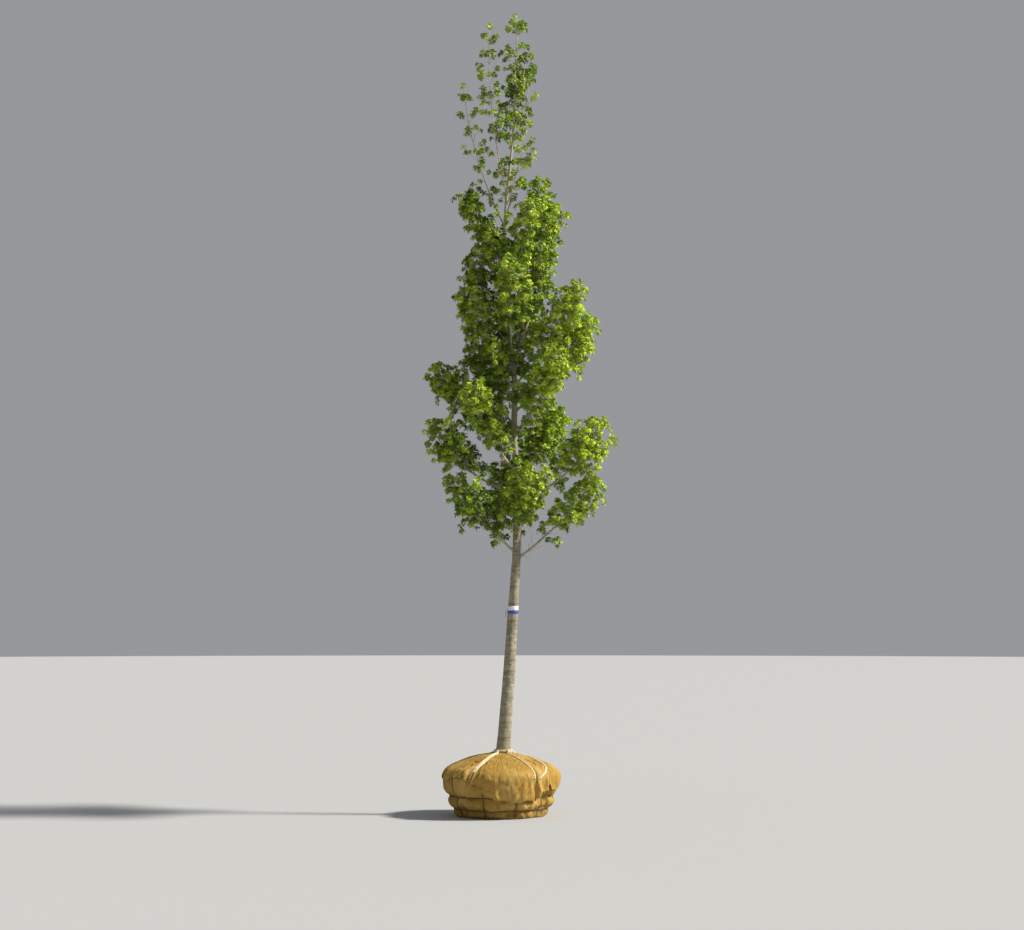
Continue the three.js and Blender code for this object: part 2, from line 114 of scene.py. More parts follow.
# Limbs, lowest first: height on the trunk, compass angle from +X towards +Y, first rise above the
# level, how far it turns up on its way, length, and how many of its steps are bare wood
Limb = namedtuple("Limb", "height angle rise turn length bare")
LIMBS = [Limb(*row) for row in (
    (1.890, 4, 37, 12, 0.790, 3), (1.935, 196, 40, 14, 0.700, 2), (2.010, 280, 34, 18, 0.700, 2),
    (2.080, 98, 34, 18, 0.720, 2), (2.330, 352, 16, 50, 0.850, 3), (2.390, 177, 14, 46, 0.800, 3),
    (2.480, 56, 26, 34, 0.760, 2), (2.560, 236, 26, 34, 0.780, 2), (2.780, 164, 26, 30, 0.800, 2),
    (2.820, 306, 30, 30, 0.770, 2), (2.900, 122, 34, 28, 0.760, 2), (3.000, 8, 36, 28, 0.860, 3),
    (3.170, 206, 46, 24, 0.780, 2), (3.200, 342, 44, 22, 0.840, 2), (3.290, 80, 42, 24, 0.740, 2),
    (3.360, 22, 65, 32, 1.380, 2), (3.430, 268, 44, 24, 0.720, 2), (3.520, 160, 57, 16, 0.660, 2),
    (3.860, 112, 46, 22, 0.620, 0), (3.930, 300, 46, 22, 0.640, 0), (4.010, 352, 36, 30, 0.600, 0),
    (4.080, 186, 54, 16, 0.560, 0), (4.400, 178, 63, 20, 1.060, 0), (4.460, 62, 58, 22, 0.640, 0),
    (4.560, 318, 60, 22, 0.660, 0), (4.640, 206, 74, 18, 1.220, 0), (4.960, 96, 62, 20, 0.560, 0),
    (5.060, 350, 64, 22, 0.520, 0), (5.330, 28, 66, 18, 0.400, 0),
)]
# The trunk's own tip, which carries on above its last station
LEADER = Limb(TRUNK_TOP, 10, 78, 10, 0.130, 0)
STEMS = [*LIMBS, LEADER]
LIMB_STEPS = 8
LIMB_TIP_RADIUS = 0.0032
LIMB_SLENDERNESS = 96
LIMB_SHARE_OF_TRUNK = 0.5

# Zones of the crown, by the height at which a limb leaves the trunk
ZONES = (("lower", 0.0, 2.70), ("middle", 2.70, 3.80), ("upper", 3.80, 7.0))
ZONE_NAMES = [name for name, _, _ in ZONES]


RANDOM_FACTOR = 16807
RANDOM_RANGE = 2147483647


class Seeded:
    """A repeatable row of numbers from 0 to 1."""

    def __init__(self, seed):
        self.state = seed

    def draw(self):
        self.state = self.state * RANDOM_FACTOR % RANDOM_RANGE
        return self.state / RANDOM_RANGE

    def spread(self, amount):
        """A number up to an amount on either side of nothing."""
        return (self.draw() * 2 - 1) * amount

    def between(self, low, high):
        return low + (high - low) * self.draw()


# Directions, turns and curves

def around(angle):
    """The level direction of a compass angle in radians."""
    return Vector((math.cos(angle), math.sin(angle), 0.0))


def heading(angle, rise):
    """The direction of a compass angle and a rise above the level, both in radians."""
    level = math.cos(rise)
    return Vector((level * math.cos(angle), level * math.sin(angle), math.sin(rise)))


def leftward(way):
    """The level direction on the left hand of another one."""
    return Vector((-way.y, way.x, 0.0))


def turns(count):
    """Angles at equal steps round a full turn."""
    return [FULL_TURN * k / count for k in range(count)]


def turn_from(angle, start):
    """The shortest turn from one angle to another, in radians."""
    return (angle - start + math.pi) % FULL_TURN - math.pi


def bell(away):
    """1 in the middle, falling smoothly to nothing on both sides."""
    return math.exp(-(away**2))


def smooth_step(low, high, value):
    """0 below low, 1 above high, and a smooth rise between them."""
    share = np.clip((value - low) / (high - low), 0.0, 1.0)
    return share * share * (3 - 2 * share)


def smooth_curve(t, here, leave, there, arrive):
    """A value on the way from here to there, for the slopes with which it leaves and arrives."""
    return (
        here * (2 * t**3 - 3 * t**2 + 1)
        + leave * (t**3 - 2 * t**2 + t)
        + there * (3 * t**2 - 2 * t**3)
        + arrive * (t**3 - t**2)
    )


def smooth_path(points, step):
    """A finer path on a smooth curve through the points, with a share from 0 to 1 for each point."""
    fine = []
    shares = []
    last = len(points) - 1
    for i in range(last):
        here, there = points[i], points[i + 1]
        leave = (there - points[max(i - 1, 0)]) / (2 if i > 0 else 1)
        arrive = (points[min(i + 2, last)] - here) / (2 if i < last - 1 else 1)
        pieces = max(1, round((there - here).length / step))
        for k in range(pieces):
            fine.append(smooth_curve(k / pieces, here, leave, there, arrive))
            shares.append((i + k / pieces) / last)
    return fine + [points[-1].copy()], shares + [1.0]


def ways_along(points):
    """Direction of a path at each of its points."""
    last = len(points) - 1
    return [(points[min(i + 1, last)] - points[max(i - 1, 0)]).normalized() for i in range(last + 1)]


def point_on(path, share):
    """Point and direction a share of the way along a path."""
    place = share * (len(path) - 1)
    i = min(int(place), len(path) - 2)
    way = path[i + 1] - path[i]
    return path[i] + way * (place - i), way.normalized()


# Meshes and objects

def make_object(name, mesh, material=None):
    """An object at the origin, whose place is in its mesh."""
    piece = bpy.data.objects.new(name, mesh)
    bpy.context.scene.collection.objects.link(piece)
    if material is not None:
        mesh.materials.append(material)
    return piece


def mesh_of(name, points, faces, smooth=True):
    mesh = bpy.data.meshes.new(name)
    mesh.from_pydata([tuple(point) for point in points], [], faces)
    mesh.polygons.foreach_set("use_smooth", [smooth] * len(mesh.polygons))
    mesh.update()
    return mesh


def outward_mesh(name, points, faces):
    """A mesh whose faces all point outwards."""
    mesh = mesh_of(name, points, faces)
    shape = bmesh.new()
    shape.from_mesh(mesh)
    bmesh.ops.recalc_face_normals(shape, faces=shape.faces)
    shape.to_mesh(mesh)
    shape.free()
    return mesh


def values_of(items, name, parts=1, kind=np.int32):
    """One value of all vertices, corners or faces of a mesh, as a flat array."""
    values = np.empty(len(items) * parts, dtype=kind)
    items.foreach_get(name, values)
    return values


def add_attribute(mesh, name, kind, values):
    """Gives each point of a mesh a value."""
    slot = "vector" if kind == "FLOAT_VECTOR" else "value"
    mesh.attributes.new(name, kind, "POINT").data.foreach_set(slot, values)


def add_piece(mesh, nodes, material=None):
    """A finished piece, tied to the frame: its body, its finish and the solids that it stands for."""
    piece = make_object(mesh.name, mesh, material)
    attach(piece, "root")
    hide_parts(*nodes)


def ring_faces(rings, sides, first=0):
    """Quads between rings of points that close on themselves."""
    rows = first + np.arange(rings - 1)[:, None] * sides
    here = rows + np.arange(sides)
    beside = rows + (np.arange(sides) + 1) % sides
    return np.stack([here, beside, beside + sides, here + sides], axis=2).reshape(-1, 4).tolist()


def capped_tube_faces(rings, sides, first=0):
    """Quads between rings, and a flat cap at each end."""
    start_cap = list(range(first + sides - 1, first - 1, -1))
    last_ring = first + (rings - 1) * sides
    return ring_faces(rings, sides, first) + [start_cap, list(range(last_ring, last_ring + sides))]


def looped_faces(rings, sides):
    """Quads between rings, with the last ring joined to the first again."""
    last = (rings - 1) * sides
    closing = [(last + k, last + (k + 1) % sides, (k + 1) % sides, k) for k in range(sides)]
    return ring_faces(rings, sides) + closing


# Trunk and limbs, by the same rule as the solids

def trunk_at(height):
    """Middle and radius of the trunk at a height, on a smooth curve through its stations."""
    last = len(TRUNK) - 1
    i = 0
    while i < last - 1 and TRUNK[i + 1][0] < height:
        i += 1
    span = TRUNK[i + 1][0] - TRUNK[i][0]
    t = (height - TRUNK[i][0]) / span

    def slope(k, column):
        before = TRUNK[max(k - 1, 0)]
        after = TRUNK[min(k + 1, last)]
        return (after[column] - before[column]) / (after[0] - before[0])

    def value(column):
        leave, arrive = span * slope(i, column), span * slope(i + 1, column)
        return smooth_curve(t, TRUNK[i][column], leave, TRUNK[i + 1][column], arrive)

    return Vector((value(1), value(2), height)), value(3)


def limb_path(limb):
    """Points of a limb at equal steps, from the middle of the trunk to the tip."""
    points = [trunk_at(limb.height)[0]]
    for i in range(LIMB_STEPS):
        rise = limb.rise + limb.turn * (i + 0.5) / LIMB_STEPS
        way = heading(math.radians(limb.angle), math.radians(rise))
        points.append(points[i] + way * (limb.length / LIMB_STEPS))
    return points


def limb_base_radius(limb):
    most = trunk_at(limb.height)[1] * LIMB_SHARE_OF_TRUNK
    return min(most, LIMB_TIP_RADIUS + limb.length / LIMB_SLENDERNESS)


def zone_of(height):
    return next(name for name, low, high in ZONES if low <= height < high)


def foliage_nodes(zone):
    """Masses of foliage that leave the trunk in a zone."""
    nodes = [f"foliage_{i:02d}" for i, limb in enumerate(LIMBS, start=1) if zone_of(limb.height) == zone]
    return nodes + (["foliage_leader"] if zone == ZONE_NAMES[-1] else [])


# Crown: the source's rule of growth, carried on to finer twigs

# Pairs of twigs on a stem, as the solids have them. A lean is an angle in degrees and its spread
PAIR_OFFSET = 0.45
PAIR_ROLL_SPREAD = 0.4
TWIG_LEAN = (50, 12)
TWIG_LENGTH = 0.185
TWIG_LENGTH_SPREAD = 0.2
TWIG_ARCH_START = 0.25
TWIG_ARCH_SPAN = 0.62
TWIG_LIFT = 0.35
TWIG_SHORTEST = 0.06
LEAF_LENGTH = 0.158
FIRST_SEED = 101
SEED_STEP = 37
SPACE_MARGIN = 0.007
SPACE_REACH = 0.33

# The crown's spire: where it starts, and its shares of the twigs' spacing, the twigs' length, the
# solids' leaf length and the sprays' size
SPIRE_START = 4.3
SPIRE_SHARES = (1.85, 0.6, 0.75, 0.88)

# Finer growth: twigs reach as far as the leaves of the solids, with side shoots and spurs on them and
# a spray of leaves at the end of each
REACH_FILLED = 0.66
TWIG_STEP = 0.045
TWIG_BEND = 0.08
TWIG_WANDER = 0.06
TWIG_THICKNESS = 0.0027
TWIG_THINNING = 0.0009
TWIG_TAPER = 0.45
TWIG_ROUGHNESS = 0.7
TWIG_SPECULAR = 0.3
SHOOT_OFFSET = 0.3
SHOOT_END_ROOM = 0.35
SHOOT_LEAN = (52, 14)
SHOOT_SHARE = 0.48
SHOOT_LENGTH_SPREAD = 0.25
SHOOT_SHORTEST = 0.052
SHOOT_THINNING = 0.7
SPUR_LENGTH = 0.036
SPUR_LENGTH_SPREAD = 0.45
SPUR_THINNING = 0.6
SPUR_TAPER = (1.0, 0.85, 0.9)
SPUR_TIP_LIFT = 0.5
SPUR_TIP_SHARE = 0.25
END_SPRAY_SIZE = (1.0, 1.22)
SIDE_SPRAY_SIZE = (0.78, 1.05)
SPRAY_LIFT = 1.0
SPRAY_TILT_SPREAD = 0.38
SPRAY_RADIUS = 0.04
LEADING_LENGTH = 0.06
LEADING_THICKNESS = 0.0022
LEADING_SPRAY_SIZE = 1.1

# Thin shoots on the bare feet of the boughs, a part of them without leaves
BARE_SEED = 707
BARE_OFFSET = 1.2
BARE_ROLL_SPREAD = 0.6
BARE_LEAN = (55, 15)
BARE_LENGTH = (0.05, 0.19)
BARE_THICKNESS = 0.0017
BARE_SPRAY_SIZE = (0.8, 1.0)
LEAFLESS_SHARE = 0.55
LEAFLESS_RADII = (0.0016, 0.0013, 0.0010)
LEAFLESS_LIFT = 0.25

# Shoots straight on the trunk: long up to the spire and at the trunk's tip, and short spurs between
TRUNK_SEED = 1111
TRUNK_SHOOT_START = 2.2
TRUNK_SPIRE_START = 3.6
TRUNK_TIP_START = 5.00
TRUNK_TIP_SHARE = 0.7
TRUNK_SHOOT_SPACING = 0.085
TRUNK_SHOOTS_MISSING = 0.5
TRUNK_SHOOT_LEAN = (58, 14)
TRUNK_SHOOT_LENGTH = 0.15
TRUNK_SHOOT_SHARES = (0.4, 1.4)
TRUNK_SHOOT_THICKNESS = 0.002
TRUNK_SPUR_LENGTH = 0.05
TRUNK_SPUR_SHARES = (0.5, 1.5)
TRUNK_SPUR_THICKNESS = 0.0017
TRUNK_SPRAY_SIZE = (0.8, 1.1)

Twig = namedtuple("Twig", "points radii zone")
Spray = namedtuple("Spray", "point axis size chance zone")
# What a twig grows from: the number of its stem, or None on bare wood, its zone and its random numbers
Root = namedtuple("Root", "number zone random")


def branch_way(way, roll, hand, lean, random):
    """A direction that leaves another one with a lean, on one hand of a roll round it."""
    level = leftward(way)
    if level.length_squared < 1e-4:
        level = Vector((1.0, 0.0, 0.0))
    level.normalize()
    level.rotate(Quaternion(way, roll + hand * math.pi / 2))
    angle = math.radians(lean[0] + random.spread(lean[1]))
    return way * math.cos(angle) + level * math.sin(angle)


class CrownSpace:
    """Tells which stem the space round a point belongs to."""

    def __init__(self, paths):
        self.starts = np.array([point for path in paths for point in path[:-1]])
        self.along = np.array([point for path in paths for point in path[1:]]) - self.starts
        self.squares = (self.along**2).sum(axis=1)
        self.owners = np.array([number for number, path in enumerate(paths) for _ in path[1:]])
        self.count = len(paths)

    def holds(self, point, number):
        offset = np.array(point) - self.starts
        share = np.clip((offset * self.along).sum(axis=1) / self.squares, 0.0, 1.0)
        distances = np.full(self.count, np.inf)
        np.minimum.at(distances, self.owners, np.linalg.norm(offset - self.along * share[:, None], axis=1))
        own = distances[number]
        others = np.delete(distances, number)
        return own <= SPACE_REACH and bool((others > own + SPACE_MARGIN).all())


class Grower:
    """Grows twigs and sprays on the stems of the crown."""

    def __init__(self, pair_spacing, shoot_spacing):
        self.pair_spacing = pair_spacing
        self.shoot_spacing = shoot_spacing
        self.twigs = []
        self.sprays = []
        self.paths = [limb_path(limb) for limb in STEMS]
        self.space = CrownSpace([path[limb.bare:] for limb, path in zip(STEMS, self.paths)])

    def has_room(self, root, point, size=1.0):
        """True where a spray stays in its own stem's space and inside the box of the solids."""
        if root.number is not None and not self.space.holds(point, root.number):
            return False
        low, high = CAD_BOX
        room = SPRAY_RADIUS * size
        return all(low[k] + room <= point[k] <= high[k] - room for k in range(3))

    def add_spray(self, root, point, axis, size):
        """A spray of leaves, where it has room."""
        if not self.has_room(root, point, size):
            return False
        lifted = (axis + UP * SPRAY_LIFT).normalized()
        tilted = lifted + Vector([root.random.spread(SPRAY_TILT_SPREAD) for _ in range(3)])
        self.sprays.append(Spray(point, tilted.normalized(), size, root.random.draw(), root.zone))
        return True

    def add_spur(self, root, start, way, length, thick, size):
        """A short spur with a spray at its end, where that has room."""
        end = start + way * length
        tip = end + (way + UP * SPUR_TIP_LIFT).normalized() * (length * SPUR_TIP_SHARE)
        if not self.add_spray(root, tip, way, size):
            return False
        self.twigs.append(Twig((start, end, tip), [thick * share for share in SPUR_TAPER], root.zone))
        return True

    def add_twig(self, root, start, way, length, thick, size, spacing=1.0):
        """A twig that bends up, with crossed pairs of side shoots and a spray at its end."""
        random = root.random
        points = [start.copy()]
        onward = way.copy()
        steps = max(2, round(length / TWIG_STEP))
        for _ in range(steps):
            wander = Vector([random.spread(TWIG_WANDER) for _ in range(3)])
            onward = (onward + UP * TWIG_BEND + wander).normalized()
            following = points[-1] + onward * (length / steps)
            if not self.has_room(root, following):
                break
            points.append(following)
        if len(points) < 3:
            return
        last = len(points) - 1
        grown = length * last / steps
        radii = [thick * (1 - TWIG_TAPER * i / last) for i in range(last + 1)]
        self.twigs.append(Twig(points, radii, root.zone))
        self.add_spray(root, points[-1], onward, size * random.between(*END_SPRAY_SIZE))
        pairs = round(grown / (self.shoot_spacing * spacing))
        for i in range(1, pairs + 1):
            share = (i - SHOOT_OFFSET) / (pairs + SHOOT_END_ROOM)
            point, way_here = point_on(points, share)
            roll = i * math.pi / 2 + random.spread(PAIR_ROLL_SPREAD)
            long = grown * SHOOT_SHARE * (1 - share) * (1 + random.spread(SHOOT_LENGTH_SPREAD))
            for hand in (-1, 1):
                side = branch_way(way_here, roll, hand, SHOOT_LEAN, random)
                leaf = size * random.between(*SIDE_SPRAY_SIZE)
                if long > SHOOT_SHORTEST:
                    self.add_twig(root, point, side, long, thick * SHOOT_THINNING, leaf)
                else:
                    short = SPUR_LENGTH * (1 + random.spread(SPUR_LENGTH_SPREAD))
                    self.add_spur(root, point, side, short, thick * SPUR_THINNING, leaf)

    def grow_stem(self, number):
        """One mass: pairs of twigs up its stem, each pair at right angles to the last."""
        limb = STEMS[number]
        random = Seeded(FIRST_SEED + SEED_STEP * number)
        root = Root(number, zone_of(limb.height), random)
        shares = SPIRE_SHARES if limb.height > SPIRE_START else [1.0] * len(SPIRE_SHARES)
        spacing, twig_share, leaf_share, size = shares
        path = self.paths[number][limb.bare:]
        length = limb.length * (LIMB_STEPS - limb.bare) / LIMB_STEPS
        pairs = max(2, round(length / (self.pair_spacing * spacing)))
        longest = TWIG_LENGTH * twig_share + LEAF_LENGTH * leaf_share * REACH_FILLED
        for i in range(1, pairs + 1):
            share = (i - PAIR_OFFSET) / pairs
            point, way = point_on(path, share)
            roll = i * math.pi / 2 + random.spread(PAIR_ROLL_SPREAD)
            reach = longest * math.sin(math.pi * (TWIG_ARCH_START + TWIG_ARCH_SPAN * i / pairs))
            thick = TWIG_THICKNESS - TWIG_THINNING * share
            for hand in (-1, 1):
                own = max(TWIG_SHORTEST, reach * (1 + random.spread(TWIG_LENGTH_SPREAD)))
                onward = branch_way(way, roll, hand, TWIG_LEAN, random)
                onward.z += TWIG_LIFT
                self.add_twig(root, point, onward.normalized(), own, thick, size, spacing)
        tip, way = point_on(path, 1.0)
        if not self.add_spur(root, tip, way, LEADING_LENGTH, LEADING_THICKNESS, LEADING_SPRAY_SIZE):
            self.add_spray(root, tip, way, LEADING_SPRAY_SIZE)

    def grow_bare_wood(self, number):
        """Thin shoots on the bare foot of a bough, some of them without leaves."""
        limb = STEMS[number]
        random = Seeded(BARE_SEED + SEED_STEP * number)
        root = Root(None, zone_of(limb.height), random)
        for i in range(limb.bare * 2):
            point, way = point_on(self.paths[number], (i + BARE_OFFSET) / (2 * LIMB_STEPS))
            roll = i * math.pi / 2 + random.spread(BARE_ROLL_SPREAD)
            for hand in (-1, 1):
                onward = branch_way(way, roll, hand, BARE_LEAN, random)
                long = random.between(*BARE_LENGTH)
                if random.draw() < LEAFLESS_SHARE:
                    middle = point + onward * (long / 2)
                    tip = middle + (onward + UP * LEAFLESS_LIFT).normalized() * (long / 2)
                    self.twigs.append(Twig((point, middle, tip), LEAFLESS_RADII, root.zone))
                else:
                    size = random.between(*BARE_SPRAY_SIZE)
                    self.add_twig(root, point, onward, long, BARE_THICKNESS, size)

    def grow_trunk_shoots(self):
        """Shoots straight on the trunk, in pairs that turn round it."""
        random = Seeded(TRUNK_SEED)
        for i in range(int((TRUNK_TOP - TRUNK_SHOOT_START) / TRUNK_SHOOT_SPACING)):
            height = TRUNK_SHOOT_START + (i + 0.5) * TRUNK_SHOOT_SPACING
            middle, radius = trunk_at(height)
            root = Root(None, zone_of(height), random)
            roll = i * BUD_TURN + random.spread(PAIR_ROLL_SPREAD)
            for hand in (-1, 1):
                onward = branch_way(UP, roll, hand, TRUNK_SHOOT_LEAN, random)
                size = random.between(*TRUNK_SPRAY_SIZE)
                if random.draw() < TRUNK_SHOOTS_MISSING and height < TRUNK_TIP_START:
                    continue
                if TRUNK_SPIRE_START <= height <= TRUNK_TIP_START:
                    long = radius + TRUNK_SPUR_LENGTH * random.between(*TRUNK_SPUR_SHARES)
                    self.add_spur(root, middle, onward, long, TRUNK_SPUR_THICKNESS, size)
                    continue
                longest = TRUNK_SHOOT_LENGTH * (1.0 if height < TRUNK_SPIRE_START else TRUNK_TIP_SHARE)
                long = radius + longest * random.between(*TRUNK_SHOOT_SHARES)
                self.add_twig(root, middle, onward, long, TRUNK_SHOOT_THICKNESS, size)


@lru_cache(maxsize=None)
def grown_crown(pair_spacing, shoot_spacing):
    """All twigs and sprays of the crown."""
    grower = Grower(pair_spacing, shoot_spacing)
    for number in range(len(STEMS)):
        grower.grow_stem(number)
        grower.grow_bare_wood(number)
    grower.grow_trunk_shoots()
    return grower.twigs, grower.sprays


# Materials and node trees

class NodeBuilder:
    """Short ways to add nodes to a tree. A node that is given as a value stands for its first output."""

    def __init__(self, tree):
        self.tree = tree

    def add(self, kind, settings=None, **inputs):
        """A new node with its settings, and with values or other nodes in its named inputs."""
        node = self.tree.nodes.new(kind)
        for name, value in (settings or {}).items():
            setattr(node, name, value)
        return self.fill(node, **inputs)

    def fill(self, node, **inputs):
        for name, value in inputs.items():
            self.plug(node.inputs[name.replace("_", " ")], value)
        return node

    def plug(self, socket, value):
        if isinstance(value, bpy.types.Node):
            value = value.outputs[0]
        if isinstance(value, bpy.types.NodeSocket):
            self.tree.links.new(value, socket)
        else:
            socket.default_value = value

    def math(self, operation, *values):
        node = self.add("ShaderNodeMath", {"operation": operation})
        for socket, value in zip(node.inputs, values):
            self.plug(socket, value)
        return node


NO_STRETCH = (1.0, 1.0, 1.0)


class Finish(NodeBuilder):
    """A material with a Principled shader, and short ways to drive it."""

    def __init__(self, name, color, roughness, specular=0.5, metallic=0.0):
        self.material = bpy.data.materials.new(name)
        self.material.use_nodes = True
        super().__init__(self.material.node_tree)
        self.shader = self.tree.nodes["Principled BSDF"]
        self.fill(
            self.shader,
            Base_Color=(*color, 1.0), Roughness=roughness, Specular_IOR_Level=specular, Metallic=metallic,
        )

    def place(self, stretch=NO_STRETCH, uv=None):
        """Object coordinates, or a UV map's, stretched along each axis."""
        if uv:
            source = self.add("ShaderNodeUVMap", {"uv_map": uv})
        else:
            source = self.add("ShaderNodeTexCoord").outputs["Object"]
        return self.add("ShaderNodeMapping", Vector=source, Scale=stretch)

    def noise(self, stretch=NO_STRETCH, scale=1.0, detail=3.0, roughness=0.55, distortion=0.0, uv=None):
        return self.add(
            "ShaderNodeTexNoise", Vector=self.place(stretch, uv),
            Scale=scale, Detail=detail, Roughness=roughness, Distortion=distortion,
        )

    def height(self):
        return self.add("ShaderNodeSeparateXYZ", Vector=self.place()).outputs["Z"]

    def ramp(self, value, low, high, start=0.0, end=1.0):
        """A value stretched so that low becomes start and high becomes end."""
        return self.add(
            "ShaderNodeMapRange", Value=value, From_Min=low, From_Max=high, To_Min=start, To_Max=end
        )

    def tint(self, shade, color, value, low, high, start=0.0, end=1.0):
        """A colour laid over a shade: its share goes from start to end as a value goes from low to high."""
        node = self.add("ShaderNodeMix", {"data_type": "RGBA"})
        self.plug(node.inputs[0], self.ramp(value, low, high, start, end))
        sockets = [socket for socket in node.inputs if socket.type == "RGBA"]
        for socket, part in zip(sockets, (shade, color)):
            self.plug(socket, part if isinstance(part, bpy.types.NodeSocket) else (*part, 1.0))
        return next(socket for socket in node.outputs if socket.type == "RGBA")

    def bump(self, height, strength, distance, **normal):
        return self.add("ShaderNodeBump", Height=height, Strength=strength, Distance=distance, **normal)

    def done(self, **inputs):
        """The material, once values are plugged into its shader."""
        self.fill(self.shader, **inputs)
        return self.material


def bark_finish(name, color, dark, pale, band_scale, mottle_scale):
    """Smooth young bark: fine level bands, soft mottling, small pale breathing pores, and painted sunlight
    that makes it paler higher up.
    """
    finish = Finish(name, color, 0.82, specular=0.3)
    bands = finish.noise((6.0, 6.0, band_scale), detail=4.0, roughness=0.6)
    mottling = finish.noise(scale=mottle_scale, detail=5.0, roughness=0.62)
    patches = finish.noise((1.0, 1.0, 0.45), mottle_scale * 0.32, detail=2.0)
    fine = finish.noise((60.0, 60.0, 420.0), detail=4.0)
    pores = finish.add(
        "ShaderNodeTexVoronoi", {"feature": "F1"}, Vector=finish.place((60.0, 60.0, 210.0)), Scale=1.0
    )
    shade = finish.tint(dark, color, bands, 0.30, 0.54)
    shade = finish.tint(shade, pale, mottling, 0.46, 0.72, end=0.75)
    shade = finish.tint(shade, dark, patches, 0.55, 0.72, end=0.4)
    shade = finish.tint(shade, pale, pores, 0.20, 0.12, end=0.65)
    # Paler higher up: painted sunlight on the upper trunk, the boughs and the leader
    shade = finish.tint(shade, pale, finish.height(), 2.2, 5.2, end=0.7)
    relief = finish.bump(fine, 0.40, 0.0008, Normal=finish.bump(bands, 0.40, 0.0014))
    return finish.done(
        Base_Color=shade,
        Roughness=finish.ramp(mottling, 0.3, 0.7, 0.72, 0.92),
        Normal=finish.bump(finish.ramp(pores, 0.22, 0.10), 0.5, 0.0007, Normal=relief),
    )


def cloth_finish(color, dark, pale):
    """Burlap: coarse yarns both ways, with slubs, soil stains, damp low down and painted shade in its
    creases and under the ropes and wires.
    """
    finish = Finish("burlap_cloth", color, 0.95, specular=0.15)
    along = finish.noise((480.0, 30.0, 1.0), detail=2.0, uv="cloth")
    across = finish.noise((30.0, 480.0, 1.0), detail=2.0, uv="cloth")
    yarns = finish.math("ADD", along, across)
    threads = finish.add("ShaderNodeSeparateXYZ", Vector=finish.place((2600.0, 2600.0, 1.0), uv="cloth"))
    warp, weft = (finish.math("SINE", threads.outputs[axis]) for axis in "XY")
    weave = finish.math("MAXIMUM", warp, weft)
    stains = finish.noise(scale=5.5, detail=5.0, roughness=0.6, distortion=0.4)
    blots = finish.noise(scale=17.0, detail=4.0, roughness=0.65)
    crease = finish.add("ShaderNodeAttribute", {"attribute_name": "crease"}).outputs["Fac"]
    shade = finish.tint(dark, color, yarns, 0.82, 1.10, start=0.45)
    shade = finish.tint(shade, pale, stains, 0.45, 0.70, end=0.75)
    shade = finish.tint(shade, dark, blots, 0.56, 0.76, end=0.55)
    shade = finish.tint(shade, dark, finish.height(), 0.10, 0.0, end=0.5)
    # Painted shade: darker in the cloth's creases and under the ropes and wires
    shade = finish.tint(shade, [0.45 * part for part in dark], crease, 0.0, 1.0, end=0.85)
    coarse = finish.bump(yarns, 0.5, 0.0022)
    return finish.done(Base_Color=shade, Normal=finish.bump(weave, 0.5, 0.0008, Normal=coarse))


def rope_finish(color, dark):
    """Twisted sisal: pale fibres with darker grooves and a little dirt."""
    finish = Finish("sisal_fibre", color, 0.9, specular=0.2)
    fibres = finish.noise((90.0, 90.0, 260.0), detail=4.0, roughness=0.7)
    shade = finish.tint(dark, color, fibres, 0.38, 0.58)
    shade = finish.tint(shade, dark, finish.noise(scale=22.0), 0.52, 0.72, end=0.55)
    return finish.done(Base_Color=shade, Normal=finish.bump(fibres, 0.6, 0.0010))


def wire_finish(color, rust):
    """Weathered steel wire: dull grey-brown with spots of rust."""
    finish = Finish("weathered_wire", color, 0.55, metallic=0.35)
    spots = finish.noise(scale=60.0, detail=4.0, roughness=0.6)
    return finish.done(
        Base_Color=finish.tint(color, rust, spots, 0.42, 0.6),
        Roughness=finish.ramp(spots, 0.4, 0.6, 0.45, 0.8),
        Normal=finish.bump(spots, 0.3, 0.0005),
    )


def tape_finish(name, color):
    """Thin glossy marking tape with fine stretch wrinkles and a little dust."""
    finish = Finish(name, color, 0.32)
    wrinkles = finish.noise((40.0, 40.0, 260.0), distortion=0.6)
    dust = finish.noise(scale=90.0)
    dulled = [0.72 * part + 0.04 for part in color]
    return finish.done(
        Base_Color=finish.tint(color, dulled, dust, 0.5, 0.75),
        Roughness=finish.ramp(dust, 0.4, 0.7, 0.26, 0.5),
        Normal=finish.bump(wrinkles, 0.35, 0.0012),
    )


ROPE_STRANDS = 3
ROPE_SIDES = 18
ROPE_LOBE_DEPTH = 0.34
ROPE_GROOVE = 0.3


